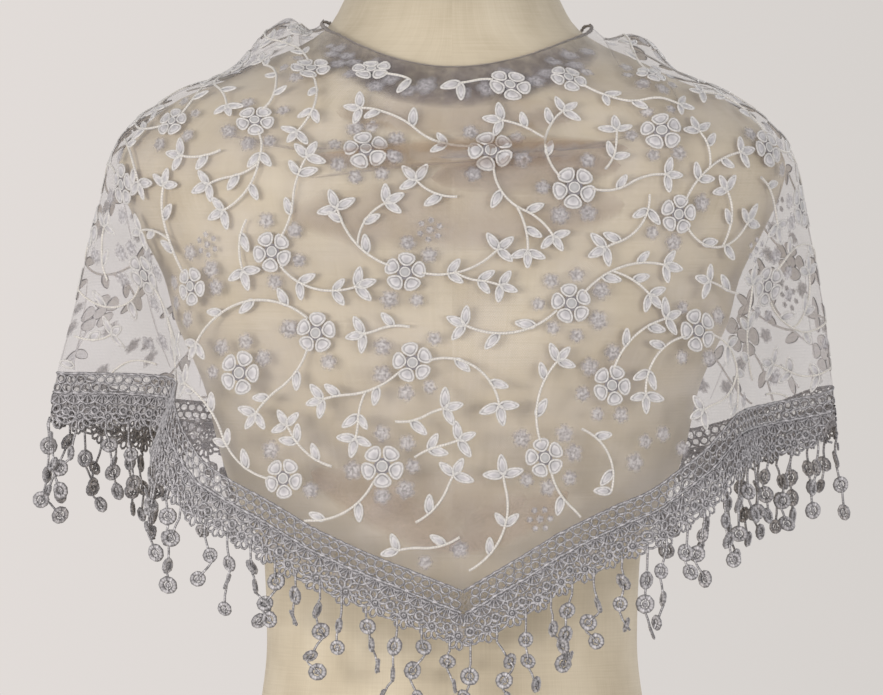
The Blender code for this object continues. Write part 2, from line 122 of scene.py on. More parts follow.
def new_piece(name, points, faces, material, flat, slot):
    """A mesh piece from points in mm. flat gives each point's place on the uncut cloth, as UVs."""
    mesh = bpy.data.meshes.new(name)
    mesh.from_pydata((np.asarray(points) * MM).tolist(), [], faces)
    layer = mesh.uv_layers.new(name="flat")
    corner_vertex = np.empty(len(mesh.loops), dtype=np.int32)
    mesh.loops.foreach_get("vertex_index", corner_vertex)
    layer.data.foreach_set("uv", np.asarray(flat, np.float32)[corner_vertex].ravel())
    mesh.materials.append(material)
    mesh.shade_smooth()
    piece = bpy.data.objects.new(name, mesh)
    bpy.context.scene.collection.objects.link(piece)
    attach(piece, "root")
    return piece


def grid_faces(columns, rows, closed=False, round_rows=False):
    """Quads over points that are listed column by column. closed joins the last column to the first,
    and round_rows does so with the rows."""
    faces = []
    for i in range(columns if closed else columns - 1):
        here, after = i * rows, (i + 1) % columns * rows
        for j in range(rows if round_rows else rows - 1):
            k = (j + 1) % rows
            faces.append((here + j, here + k, after + k, after + j))
    return faces


def new_group(name, inputs, outputs):
    """An empty shader group. inputs and outputs: (name, socket type[, default])."""
    group = bpy.data.node_groups.new(name, "ShaderNodeTree")
    for label, kind, *default in inputs:
        socket = group.interface.new_socket(name=label, in_out="INPUT", socket_type=kind)
        if default:
            socket.default_value = default[0]
    for label, kind in outputs:
        group.interface.new_socket(name=label, in_out="OUTPUT", socket_type=kind)
    start = group.nodes.new("NodeGroupInput")
    end = group.nodes.new("NodeGroupOutput")
    return group, start, end


def wire(tree, node, **inputs):
    """Sets a node's inputs. An input is a number, a colour or another socket."""
    for key, value in inputs.items():
        socket = node.inputs[int(key[1:]) if key[1:].isdigit() else key.replace("_", " ")]
        if isinstance(value, bpy.types.NodeSocket):
            tree.links.new(value, socket)
        else:
            socket.default_value = value


def add(tree, kind, settings=(), **inputs):
    node = tree.nodes.new(kind)
    for key, value in settings:
        setattr(node, key, value)
    wire(tree, node, **inputs)
    return node


def math_node(tree, operation, a, b=0.0):
    return add(tree, "ShaderNodeMath", (("operation", operation),), i0=a, i1=b).outputs[0]


def times(tree, a, b):
    return math_node(tree, "MULTIPLY", a, b)


def plus(tree, a, b):
    return math_node(tree, "ADD", a, b)


def minus(tree, a, b):
    return math_node(tree, "SUBTRACT", a, b)


def noise(tree, place, scale, detail):
    return add(tree, "ShaderNodeTexNoise", Vector=place, Scale=scale, Detail=detail).outputs[0]


def remap(tree, value, low, high, new_low=0.0, new_high=1.0):
    return add(tree, "ShaderNodeMapRange", Value=value, i1=low, i2=high, i3=new_low, i4=new_high).outputs[0]


def parts_of(tree, vector):
    return add(tree, "ShaderNodeSeparateXYZ", Vector=vector).outputs


def on_cloth_map(tree, name="flat"):
    return add(tree, "ShaderNodeUVMap", (("uv_map", name),)).outputs[0]


def in_space(tree):
    return add(tree, "ShaderNodeTexCoord").outputs["Object"]


def bump(tree, height, strength, distance=0.0002):
    return add(tree, "ShaderNodeBump", Height=height, Strength=strength, Distance=distance).outputs[0]


def darkened(tree, colour, share):
    return add(tree, "ShaderNodeVectorMath", (("operation", "SCALE"),), Vector=colour, Scale=share).outputs[0]


def plain_weave_group():
    """Threads going over and under each other: a height, and a slubby tone."""
    tree, start, end = new_group(
        "plain weave",
        (("Flat", "NodeSocketVector"), ("Thread", "NodeSocketFloat", 1.0),
         ("Wander", "NodeSocketFloat", 0.1)),
        (("Height", "NodeSocketFloat"), ("Slub", "NodeSocketFloat")),
    )
    flat, thread, wander = (start.outputs[n] for n in ("Flat", "Thread", "Wander"))
    moved = times(tree, noise(tree, flat, THREAD_WANDER_SCALE, 3.0), wander)
    parts = parts_of(tree, flat)
    waves = []
    for axis in ("X", "Y"):
        place = math_node(tree, "DIVIDE", plus(tree, parts[axis], moved), thread)
        waves.append(math_node(tree, "SINE", times(tree, place, math.pi)))
    warp, weft = (math_node(tree, "ABSOLUTE", wave) for wave in waves)
    upper = math_node(tree, "GREATER_THAN", times(tree, *waves), 0.0)
    top = add(tree, "ShaderNodeMix", i0=upper, i2=weft, i3=warp).outputs[0]
    slubs = []
    for stretch in ((SLUB_ALONG, SLUB_ACROSS, 1.0), (SLUB_ACROSS, SLUB_ALONG, 1.0)):
        along = add(tree, "ShaderNodeMapping", Vector=flat, Scale=stretch).outputs[0]
        slubs.append(noise(tree, along, 1.0, 2.0))
    wire(tree, end, Height=top, Slub=times(tree, plus(tree, *slubs), 0.5))
    return tree


def new_material(name):
    material = bpy.data.materials.new(name)
    material.use_nodes = True
    shader = material.node_tree.nodes["Principled BSDF"]
    shader.inputs["Metallic"].default_value = 0.0
    return material, material.node_tree, shader


def colour_ramp(tree, factor, stops):
    """A ramp through (place, colour) or (place, grey) stops."""
    ramp = add(tree, "ShaderNodeValToRGB", i0=factor)
    elements = ramp.color_ramp.elements
    while len(elements) < len(stops):
        elements.new(0.5)
    for element, (place, colour) in zip(elements, stops):
        element.position = place
        element.color = (*np.broadcast_to(colour, 3).tolist(), 1.0)
    return ramp.outputs["Color"]


plain_weave = plain_weave_group()


def linen_material():
    material, tree, shader = new_material("linen cover")
    flat = on_cloth_map(tree)
    weave = add(tree, "ShaderNodeGroup", (("node_tree", plain_weave),), Flat=flat, Thread=LINEN_THREAD,
                Wander=0.5).outputs
    mottle = noise(tree, flat, 0.02, 4.0)
    tone = plus(tree, times(tree, weave["Slub"], 0.4), times(tree, mottle, 0.6))
    # Painted shade: the linen is darkened towards the top of the neck.
    neck_shade = remap(tree, parts_of(tree, flat)["Y"], NECK_SHADE_FROM, NECK_SHADE_TO, 1.0, NECK_SHADE_SHARE)
    wire(tree, shader, Base_Color=darkened(tree, colour_ramp(tree, tone, LINEN_COLOURS), neck_shade),
         Roughness=0.85, Sheen_Weight=0.15, Normal=bump(tree, weave["Height"], 0.25))
    return material


def form_rings():
    """Heights of the loft's rings, each with how far it is drawn in to round the top rim."""
    top = FORM_SECTIONS[-1][0]
    plain = np.arange(0.0, top - FORM_RIM_ROUNDING, FORM_RING_SPACING)
    turns = np.linspace(0.0, math.pi / 2, FORM_RIM_STEPS)
    rim = [(top - FORM_RIM_ROUNDING * (1 - math.sin(t)), FORM_RIM_ROUNDING * (1 - math.cos(t)))
           for t in turns]
    return [(height, 0.0) for height in plain] + rim


def build_form():
    rings = form_rings()
    points, flat = [], []
    for angle in np.linspace(0.0, 2 * math.pi, FORM_SIDES + 1):
        side, ahead = math.sin(angle), -math.cos(angle)
        for height, drawn_in in rings:
            power = 2.0 / float(form_value("squareness", height))
            depth = float(form_value("front_depth" if ahead < 0 else "back_depth", height)) - drawn_in
            width = float(form_value("half_width", height)) - drawn_in
            x = width * math.copysign(abs(side) ** power, side)
            y = depth * math.copysign(abs(ahead) ** power, ahead)
            points.append((x, y, height))
            flat.append((angle * COVER_PER_RADIAN, height))
    rows = len(rings)
    faces = [face[::-1] for face in grid_faces(FORM_SIDES + 1, rows)]
    for row in (0, rows - 1):
        rim = [points[i * rows + row] for i in range(FORM_SIDES)]
        faces.append(list(range(len(points), len(points) + FORM_SIDES)))
        points.extend(rim)
        flat.extend((x, y + points[row][2]) for x, y, _ in rim)
    form = new_piece("linen_dress_form", points, faces, linen_material(), flat, "linen")
    bm = bmesh.new()
    bm.from_mesh(form.data)
    bmesh.ops.remove_doubles(bm, verts=bm.verts, dist=WELD_DISTANCE * MM)
    bmesh.ops.recalc_face_normals(bm, faces=bm.faces)
    bm.to_mesh(form.data)
    bm.free()
    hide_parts("dress_form")


build_form()


# ================================================================ The net
# One triangle of fine grey net. Its long edge lies round the neck, its point hangs down the front,
# and its two ends go over the shoulders and cross on the back. It only rests on the form.
CLEAR_OF_FORM = 3.6
CONTACT_SOFTNESS = 2.0
FREE_OF_CONTACT = 8.0
SETTLE_PASSES = 3
END_LAYER_GAP = 6.5
RING_COLUMNS = ("front_y", "front_z", "left_x", "left_z", "right_x", "right_z", "back_y", "back_z",
                "droop", "front_fullness", "back_fullness", "left_tuck", "right_tuck")
VEIL_RINGS = (
    (-76, 542, 73.5, 574.5, 80.5, 573, 66, 574, 1.15, 1, 1, 0, 0),  # neck edge
    (-79, 537.5, 80.5, 568.5, 90, 563.5, 73, 567, 1.15, 1, 1, 0, 0),  # dip by it
    (-82, 533, 94.5, 577.5, 103, 568.5, 81, 562, 1.20, 1, 1, 0, 0),  # crest
    (-85, 528.5, 108, 570, 114, 564, 88, 553, 1.30, 1, 1, 0, 0),  # its side
    (-89, 521, 131, 543, 131, 545, 95, 541, 1.50, 1, 1, 0, 0),  # its foot
    (-95, 507, 157, 532.5, 157, 532.5, 101, 526, 1.70, 1, 1, 0, 0),  # slope
    (-100, 490, 184, 517, 184, 517, 106, 507, 1.90, 1, 1, 0, 0),  # shoulder
    (-107, 467, 198, 495, 199, 495, 110, 484, 2, 1.05, 1.05, 0, 0),  # its end
    (-118, 438, 206, 467, 206, 464, 113, 456, 2, 1.15, 1.15, 4, 2),  # arm level
    (-131, 398, 213, 438, 212, 433, 115, 424, 2, 1.25, 1.20, 16, 8),  # bust
    (-128, 345, 220.5, 406, 217.5, 400, 117, 388, 2, 1.32, 1.25, 33, 16),
    (-122, 290, 229.5, 372, 221.5, 364, 120, 346, 2, 1.35, 1.25, 46, 22),  # wing hems
    (-116, 232, 236, 344, 228.5, 332, 122, 306, 2, 1.35, 1.25, 48, 24),
)
SHOULDER_END_LEVEL = 7
TUCK_TURN_DEG, TUCK_REACH_DEG = 64.0, 24.0
TUCK_INWARD, TUCK_TOWARDS_SIDE = 0.93, 0.37
BACK_TUCK_SHARE = 0.35

HEM_COLUMNS = ("turn_deg", "height")
POINT_TURN_DEG = 1.5
HEM_LEFT = ((-1.5, 249), (6, 261), (12, 270.5), (19, 283), (27, 300), (33.5, 312),
            (38, 322), (42, 337), (47, 352), (58, 367), (75, 371.5), (90, 372))
HEM_RIGHT = ((1.5, 249), (10, 268.5), (16, 282), (25, 297.5), (30, 304.5), (35, 315.5),
             (40, 327), (46, 341), (52, 349), (65, 353.5), (75, 357.5), (90, 364))
END_COLUMNS = ("side", "neck_x", "neck_z", "edge_slope_deg", "wing_x", "tip_turn_deg")
END_LEFT = (-1, -70, 574, 53.5, -229.5, 207)
END_RIGHT = (1, 76, 572, 54.5, 221.5, 207)
END_HEM_COLUMNS = ("in_from_wing", "height")
END_HEM_LEFT = ((-20, 372), (0, 372), (45, 358), (100, 352), (230, 342), (340, 336))
END_HEM_RIGHT = ((-20, 364), (0, 364), (40, 350), (80, 338), (230, 326), (340, 322))
SHORTEST_END_ROW = 7.0
LIFT_FROM_DEG, LIFT_TO_DEG = 112.0, 150.0

CREASE_COLUMNS = ("face", "x1", "z1", "x2", "z2", "bow", "half_width", "rise")
FRONT, BACK = 1, -1
CREASE_FULL_SHARE, CREASE_FADE_SHARE = 0.66, 0.12
FACE_BLEND = 8.0
CREASES = (
    (FRONT, -98, 499, 88, 502, 7, 7, 5.5),  # soft roll across the chest
    (FRONT, -86, 485, 40, 490, 5, 6, -2.5),  # dip below it
    (FRONT, -196, 446, -184, 382, 0, 9, 5),  # down the left wing
    (FRONT, 190, 446, 196, 372, 0, 9, 5),  # down the right wing
    (FRONT, 108, 546, 128, 500, 0, 9, 3.5),  # from the crests onto the chest
    (FRONT, -100, 556, -74, 512, 0, 8, 4.5),
    (FRONT, -62, 546, -40, 508, 0, 7, 2.5),
    (FRONT, 66, 546, 40, 512, 0, 8, 2.5),
    (BACK, -118, 424, -132, 290, 0, 13, 5),  # down the back
    (BACK, 118, 436, 108, 290, 0, 12, 6),
    (BACK, -98, 540, 52, 440, 6, 10, 4),  # along the left end as it crosses
    (BACK, -128, 512, 40, 384, 8, 12, 3.5),
    (BACK, 104, 538, 62, 500, 2, 10, 3.5),  # along the right one
)
RIB_SAMPLES = 200
CLOTH_ROWS = 84
COLUMN_TURN_DEG = 1.2
STRETCHES_DEG = (("tail_left", -207.0, -90.0), ("front_left", -90.0, POINT_TURN_DEG),
                 ("front_right", POINT_TURN_DEG, 90.0), ("tail_right", 90.0, 207.0))


def ring_value(name, level):
    levels = list(range(len(VEIL_RINGS)))
    return smooth_through(levels, column(VEIL_RINGS, RING_COLUMNS, name), level)


def form_reach(points):
    """1 on the form's surface, less inside it and more outside."""
    x, y, z = points[..., 0], points[..., 1], points[..., 2]
    power = form_value("squareness", z)
    depth = np.where(y < 0, form_value("front_depth", z), form_value("back_depth", z))
    across = (np.abs(x) / form_value("half_width", z)) ** power
    return (across + (np.abs(y) / depth) ** power) ** (1.0 / power)


def off_the_form(points, step=0.5):
    """How far each point stands off the form, and the direction straight out from it."""
    gradient = np.empty_like(points)
    for axis in range(3):
        shift = np.zeros(3)
        shift[axis] = step
        gradient[..., axis] = (form_reach(points + shift) - form_reach(points - shift)) / (2 * step)
    steepness = np.maximum(np.linalg.norm(gradient, axis=-1), 1e-6)
    return (form_reach(points) - 1.0) / steepness, gradient / steepness[..., None]


def ring_point(turn, level):
    """The drape before it meets the form. turn: radians from the front, left negative."""
    side, ahead = np.sin(turn), np.cos(turn)
    is_left, is_front = side < 0, ahead > 0
    side_x = np.where(is_left, ring_value("left_x", level), ring_value("right_x", level))
    side_z = np.where(is_left, ring_value("left_z", level), ring_value("right_z", level))
    centre_y = np.where(is_front, ring_value("front_y", level), ring_value("back_y", level))
    centre_z = np.where(is_front, ring_value("front_z", level), ring_value("back_z", level))
    fullness = np.where(is_front, ring_value("front_fullness", level), ring_value("back_fullness", level))
    tuck = np.where(is_left, ring_value("left_tuck", level), ring_value("right_tuck", level))
    from_middle = np.degrees(np.arctan2(np.abs(side), np.abs(ahead)))
    off_tuck = np.minimum(np.abs(from_middle - TUCK_TURN_DEG) / TUCK_REACH_DEG, 1.0)
    tuck = tuck * np.cos(off_tuck * math.pi / 2) ** 2
    tuck = tuck * np.where(is_front, 1.0, BACK_TUCK_SHARE)
    x = side_x * side - np.sign(side) * TUCK_INWARD * tuck
    y = centre_y * np.abs(ahead) ** fullness - np.sign(centre_y) * TUCK_TOWARDS_SIDE * tuck
    z = side_z + (centre_z - side_z) * np.abs(ahead) ** ring_value("droop", level)
    return np.stack([x, y, z], axis=-1)


def crease_height(points):
    """The sum of the creases at each point."""
    height = np.zeros(points.shape[:-1])
    for row in CREASES:
        crease = named(row, CREASE_COLUMNS)
        run = np.array([crease["x2"] - crease["x1"], crease["z2"] - crease["z1"]])
        length = float(np.hypot(*run))
        beside, above = points[..., 0] - crease["x1"], points[..., 2] - crease["z1"]
        along = (beside * run[0] + above * run[1]) / length ** 2
        across = (beside * run[1] - above * run[0]) / length
        across = across - crease["bow"] * 4 * np.clip(along * (1 - along), 0, 1)
        past_full = np.maximum(np.abs(along - 0.5) - CREASE_FULL_SHARE / 2, 0.0)
        fade = np.exp(-(past_full / CREASE_FADE_SHARE) ** 2)
        on_face = 1.0 / (1.0 + np.exp(crease["face"] * points[..., 1] / FACE_BLEND))
        profile = np.exp(-(across / crease["half_width"]) ** 2)
        height += crease["rise"] * fade * on_face * profile
    return height


def settle_on_form(points, clearance):
    """Pushes the points out until they stand at least the clearance off the form."""
    for _ in range(SETTLE_PASSES):
        distance, outward = off_the_form(points)
        spare = (distance - clearance) / CONTACT_SOFTNESS
        wanted = clearance + CONTACT_SOFTNESS * np.logaddexp(0.0, spare)
        push = np.where(spare > FREE_OF_CONTACT, 0.0, wanted - distance)
        points = points + outward * push[..., None]
    return points


def net_point(turn, level):
    """A point on the net."""
    points = settle_on_form(ring_point(turn, level), CLEAR_OF_FORM - CONTACT_SOFTNESS)
    outward = off_the_form(points)[1]
    points = points + outward * crease_height(points)[..., None]
    distance, outward = off_the_form(points)
    short = np.maximum(CLEAR_OF_FORM - distance, 0.0)
    return points + outward * short[..., None]


def crossing(gap, start_at_top):
    """Where a rib's gap to a line goes from above to below, as an index with its fraction."""
    if start_at_top and gap[0] <= 0:
        return 0.0
    below = np.nonzero(gap <= 0)[0]
    if len(below) == 0:
        return float(len(gap) - 1)
    i = max(int(below[0]), 1)
    return i - 1 + gap[i - 1] / (gap[i - 1] - gap[i])


def front_hem_height(turn):
    turn_deg = math.degrees(turn)
    table, way = (HEM_LEFT, -1) if turn_deg < POINT_TURN_DEG else (HEM_RIGHT, 1)
    turns, heights = column(table, HEM_COLUMNS, "turn_deg"), column(table, HEM_COLUMNS, "height")
    return float(smooth_through(turns, heights, way * turn_deg))


def cut_limits(turn, rib):
    """Where the long edge and the hem cut a rib, as indices with their fractions."""
    if abs(turn) <= math.pi / 2 + 1e-6:
        return 0.0, crossing(rib[:, 2] - front_hem_height(turn), False)
    end = named(END_LEFT if turn < 0 else END_RIGHT, END_COLUMNS)
    hem = END_HEM_LEFT if turn < 0 else END_HEM_RIGHT
    x, z = rib[:, 0], rib[:, 2]
    edge_z = end["neck_z"] - math.tan(math.radians(end["edge_slope_deg"])) * (end["neck_x"] - x) * end["side"]
    across = column(hem, END_HEM_COLUMNS, "in_from_wing")
    hem_z = smooth_through(across, column(hem, END_HEM_COLUMNS, "height"), (end["wing_x"] - x) * end["side"])
    first = crossing(z - edge_z, True)
    shortest = first + SHORTEST_END_ROW / np.linalg.norm(rib[-1] - rib[-2])
    return first, max(crossing(z - hem_z, False), shortest)


def run_lengths(path):
    steps = np.linalg.norm(np.diff(path, axis=0), axis=-1)
    return np.concatenate([np.zeros((1,) + steps.shape[1:]), np.cumsum(steps, axis=0)])


def points_at(at, run, path):
    """Points on a path: at and run are lengths along it, or indices into it."""
    return np.stack([np.interp(at, run, path[:, n]) for n in range(path.shape[1])], axis=-1)


def unit(vectors):
    return vectors / np.maximum(np.linalg.norm(vectors, axis=-1, keepdims=True), 1e-9)


def outward_normals(grid):
    """Outward directions on a grid whose columns run from left to right round the front."""
    return unit(np.cross(np.gradient(grid, axis=1), np.gradient(grid, axis=0)))


QUAD_STEPS = 4      # rounds that find a flat point's place inside its quad


class Cloth:
    """A draped grid that knows where each of its points was on the flat cloth, in mm."""

    def __init__(self, points, flat):
        self.points, self.flat = points, flat
        self.normals = outward_normals(points)
        self.columns, self.rows = points.shape[:2]
        self.faces = grid_faces(self.columns, self.rows)
        level = [(u, v, 0.0) for u, v in flat.reshape(-1, 2)]
        self.lookup = BVHTree.FromPolygons(level, self.faces, epsilon=0.001)

    def carry(self, flat_points):
        """Lifts flat points onto the drape: places, outward normals, and which are on the cloth."""
        flat_points = np.asarray(flat_points, float)
        corners = np.zeros((len(flat_points), 4), dtype=int)
        on_cloth = np.zeros(len(flat_points), dtype=bool)
        flat = self.flat.reshape(-1, 2)
        for k, (u, v) in enumerate(flat_points):
            _, _, face, _ = self.lookup.ray_cast((u, v, 1.0), (0.0, 0.0, -1.0))
            if face is not None:
                on_cloth[k] = True
                corners[k] = self.faces[face]
        a, b, c, d = (flat[corners[:, n]] for n in range(4))
        s, t = np.full(len(flat_points), 0.5), np.full(len(flat_points), 0.5)
        for _ in range(QUAD_STEPS):
            here = (a * ((1 - s) * (1 - t))[:, None] + b * ((1 - s) * t)[:, None]
                    + c * (s * t)[:, None] + d * (s * (1 - t))[:, None])
            along = (d - a) * (1 - t)[:, None] + (c - b) * t[:, None]
            down = (b - a) * (1 - s)[:, None] + (c - d) * s[:, None]
            miss = flat_points - here
            area = along[:, 0] * down[:, 1] - along[:, 1] * down[:, 0]
            area = np.where(np.abs(area) < 1e-9, 1e-9, area)
            s = np.clip(s + (miss[:, 0] * down[:, 1] - miss[:, 1] * down[:, 0]) / area, 0, 1)
            t = np.clip(t + (along[:, 0] * miss[:, 1] - along[:, 1] * miss[:, 0]) / area, 0, 1)
        weights = np.stack([(1 - s) * (1 - t), (1 - s) * t, s * t, s * (1 - t)], axis=1)
        points = (self.points.reshape(-1, 3)[corners] * weights[..., None]).sum(axis=1)
        normals = unit((self.normals.reshape(-1, 3)[corners] * weights[..., None]).sum(axis=1))
        return points, normals, on_cloth


def drape_net():
    """The whole net from the tip of the left end round the front to the tip of the right end."""
    turns = [STRETCHES_DEG[0][1]]
    for _, first, last in STRETCHES_DEG:
        turns.extend(np.linspace(first, last, 1 + round((last - first) / COLUMN_TURN_DEG))[1:])
    turns = np.radians(turns)
    levels = np.linspace(0.0, len(VEIL_RINGS) - 1.0, RIB_SAMPLES)
    turn_grid, level_grid = np.meshgrid(turns, levels, indexing="ij")
    ribs = net_point(turn_grid, level_grid)
    across = run_lengths(ribs)
    across -= across[int(np.argmin(np.abs(turns)))]
    down = run_lengths(np.swapaxes(ribs, 0, 1)).T
    anchor = int(round(SHOULDER_END_LEVEL / levels[-1] * (RIB_SAMPLES - 1)))
    up = ribs[:, anchor, 2][:, None] + down[:, anchor][:, None] - down
    on_flat = np.stack([across, up], axis=-1)
    points, flat = [], []
    index = np.arange(RIB_SAMPLES)
    for k, turn in enumerate(turns):
        first, last = cut_limits(turn, ribs[k])
        run = np.interp(np.linspace(first, last, RIB_SAMPLES), index, down[k])
        at = np.interp(np.linspace(run[0], run[-1], CLOTH_ROWS), down[k], index)
        points.append(points_at(at, index, ribs[k]))
        flat.append(points_at(at, index, on_flat[k]))
    points, flat = np.array(points), np.array(flat)
    lift = np.clip((-np.degrees(turns) - LIFT_FROM_DEG) / (LIFT_TO_DEG - LIFT_FROM_DEG), 0.0, 1.0)
    lift = lift * lift * (3 - 2 * lift) * END_LAYER_GAP
    points = points + outward_normals(points) * lift[:, None, None]
    return turns, Cloth(points, flat)


turns, net_cloth = drape_net()


NET_HOLE, NET_ROW_SPACING = 1.0, 0.866      # the spacing is a share of the hole


def net_mesh_group():
    """Fine net: round holes in offset rows, with the threads between them as a mask."""
    tree, start, end = new_group(
        "net mesh",
        (("Flat", "NodeSocketVector"), ("Hole", "NodeSocketFloat", 1.2)),
        (("Threads", "NodeSocketFloat"), ("Haze", "NodeSocketFloat")),
    )
    flat, hole = start.outputs["Flat"], start.outputs["Hole"]
    parts = parts_of(tree, flat)
    rows = math_node(tree, "DIVIDE", parts["Y"], times(tree, hole, NET_ROW_SPACING))
    lines = math_node(tree, "DIVIDE", parts["X"], hole)
    half_rows = times(tree, rows, 0.5)
    ways = (rows, plus(tree, half_rows, lines), minus(tree, half_rows, lines))
    waves = [math_node(tree, "COSINE", times(tree, way, 2 * math.pi)) for way in ways]
    total = plus(tree, plus(tree, waves[0], waves[1]), waves[2])
    wire(tree, end, Threads=remap(tree, total, 0.6, -1.2), Haze=noise(tree, flat, 0.035, 4.0))
    return tree


net_mesh = net_mesh_group()
HAZE_LOW, HAZE_HIGH = 0.3, 0.7
HAZE_COVER, HAZE_SHADE = (0.7, 1.22), (0.8, 1.12)
BLOTCH_SCALE, BLOTCH_LOW, BLOTCH_HIGH = 130.0, 0.36, 0.62
NET_COLOUR, NET_COVER = (0.47, 0.44, 0.46), (0.11, 0.28)


def net_material(name, cover, colour, blotches=None, shown=None):
    """cover: how much of the net's holes and threads shows. blotches: how much of that a thin and a
    thick place have. shown: ramps along and down the "depth" map, for an edge that fades."""
    material, tree, shader = new_material(name)
    mesh = add(tree, "ShaderNodeGroup", (("node_tree", net_mesh),), Flat=on_cloth_map(tree), Hole=NET_HOLE)
    threads, haze = mesh.outputs["Threads"], mesh.outputs["Haze"]
    alpha = times(tree, remap(tree, threads, 0.0, 1.0, *cover),
                  remap(tree, haze, HAZE_LOW, HAZE_HIGH, *HAZE_COVER))
    if blotches:
        cloud = noise(tree, in_space(tree), BLOTCH_SCALE, 3.0)
        alpha = times(tree, alpha, remap(tree, cloud, BLOTCH_LOW, BLOTCH_HIGH, *blotches))
    if shown:
        ways = parts_of(tree, on_cloth_map(tree, "depth"))
        for way, stops in zip(("X", "Y"), shown):
            alpha = times(tree, alpha, colour_ramp(tree, ways[way], stops))
    shades = [(at, tuple(c * shade for c in colour)) for at, shade in zip((HAZE_LOW, HAZE_HIGH), HAZE_SHADE)]
    wire(tree, shader, Alpha=alpha, Base_Color=colour_ramp(tree, haze, shades), Roughness=0.6,
         Sheen_Weight=0.2, Normal=bump(tree, threads, 0.3))
    return material


net = new_piece("net", net_cloth.points.reshape(-1, 3), net_cloth.faces,
                net_material("sheer grey net", NET_COVER, NET_COLOUR),
                net_cloth.flat.reshape(-1, 2), "embroidered_net")
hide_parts("net_front", "net_tail_left", "net_tail_right")

# The long edge is folded under along the front of the neck, so two layers lie there close together.
# They are coloured very dark brown, partly as painted shade, and show through the net as a crescent.
TURN_IN_COLUMNS = ("turn_deg", "depth")
TURN_IN_DEPTHS = ((0.0, 26.0), (28.0, 28.0), (50.0, 22.0), (62.0, 13.0), (71.0, 6.0))
TURN_IN_DROP, TURN_IN_ROWS = 2.2, 12
FOLD_ROWS, FOLD_LEAST_DROP = 3.0, 0.15      # the drop grows over the first rows, from a share of it
TURN_IN_SHOWN = (
    ((0.0, 0.3), (0.2, 0.72), (0.36, 1.0), (0.62, 1.0), (0.8, 0.62), (1.0, 0.25)),    # left to right
    ((0.0, 0.8), (0.2, 1.0), (0.66, 0.95), (0.84, 0.6), (1.0, 0.0)),                  # from the fold down
)


def drape_turn_in():
    """The turned-in cloth, and how far along and down it each point is, from 0 to 1."""
    turn_degs = column(TURN_IN_DEPTHS, TURN_IN_COLUMNS, "turn_deg")
    depths = column(TURN_IN_DEPTHS, TURN_IN_COLUMNS, "depth")
    down = np.linspace(0.0, 1.0, TURN_IN_ROWS)
    points, flat, depth = [], [], []
    for line, flat_line, turn_deg in zip(net_cloth.points, net_cloth.flat, np.degrees(turns)):
        if abs(turn_deg) > turn_degs[-1]:
            continue
        run = run_lengths(line)
        at = down * float(smooth_through(turn_degs, depths, abs(turn_deg)))
        points.append(points_at(at, run, line))
        flat.append(points_at(at, run, flat_line))
        depth.extend((0.5 + 0.5 * turn_deg / turn_degs[-1], share) for share in down)
    points = np.array(points)
    drop = TURN_IN_DROP * np.clip(np.arange(TURN_IN_ROWS) / FOLD_ROWS, FOLD_LEAST_DROP, 1.0)
    return Cloth(points - outward_normals(points) * drop[None, :, None], np.array(flat)), depth


turn_in_cloth, turn_in_depth = drape_turn_in()
# The turned-in net's dark brown colour is partly painted shade.
turn_in = new_piece("neck_edge_turned_in", turn_in_cloth.points.reshape(-1, 3), turn_in_cloth.faces,
                    net_material("doubled net at the neck with painted shade", cover=(0.70, 1.0), colour=(0.062, 0.034, 0.021),
                                 blotches=(0.55, 1.1), shown=TURN_IN_SHOWN),
                    turn_in_cloth.flat.reshape(-1, 2), "embroidered_net")
depth_layer = turn_in.data.uv_layers.new(name="depth")
for corner, loop in zip(depth_layer.data, turn_in.data.loops):
    corner.uv = turn_in_depth[loop.vertex_index]
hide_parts("neck_turn_in")


# Where the net lies folded on itself, two or three layers show as one narrow strip, coloured dark
# brown partly as painted shade in the fold. These folds run across the chest, down beside the body,
# along both sides and down the crossed ends.
FOLD_COLUMNS = ("face", "x1", "z1", "x2", "z2", "bow", "width")
FOLDS = (
    (FRONT, -131, 508, -84, 497.5, 0, 2.2),  # across the chest, from the left
    (FRONT, -90, 498.5, -28, 497, 1.2, 2),
    (FRONT, -80, 482, 4, 490.5, 1.5, 2.4),
    (FRONT, -8, 493.5, 92, 501, 2, 6.5),  # its widest place, right of the middle
    (FRONT, 0, 490.2, 66, 494.5, 0.5, 1.6),
    (FRONT, 60, 497, 104, 507, 0, 1.8),
    (FRONT, -88, 571, -85, 552, 0, 3.2),  # beside the two crests
    (FRONT, -121, 548, -98, 562, 2, 2.4),
    (FRONT, 88, 566, 96, 548, 0, 2.6),
    (FRONT, 100, 560, 118, 552, 1, 2),
    (FRONT, 118, 548, 132, 520, 1.5, 2),
    (FRONT, -193, 489, -185, 448, 0, 2.2),  # down the left wing
    (FRONT, -180, 438, -163, 374, -2, 1.9),
    (FRONT, -176, 454, -154, 371, -3, 1.7),
    (FRONT, -155, 373, -140, 338, -0.5, 1.7),
    (FRONT, -212, 424, -219, 380, 1.5, 1.5),
    (FRONT, 190, 480, 181, 446, 1, 2.4),  # down the right wing
    (FRONT, 181, 446, 162, 396, 2, 2),
    (FRONT, 163, 398, 147, 356, 1, 1.8),
    (FRONT, 179, 425, 168, 386, 1, 2.4),
    (FRONT, 205, 430, 211, 380, -1, 1.5),
    (BACK, -140, 522, -20, 470, 4, 2.4),  # along the left end on the back
    (BACK, -150, 500, 36, 402, 8, 3),
    (BACK, -96, 452, 30, 372, 5, 2),
    (BACK, 150, 512, 84, 476, 2, 2.4),  # along the right one
    (BACK, 176, 470, 96, 410, -4, 2.2),
    (BACK, 128, 420, 112, 340, 2, 2.6),
    (BACK, -140, 420, -150, 362, -2, 2.4),
)
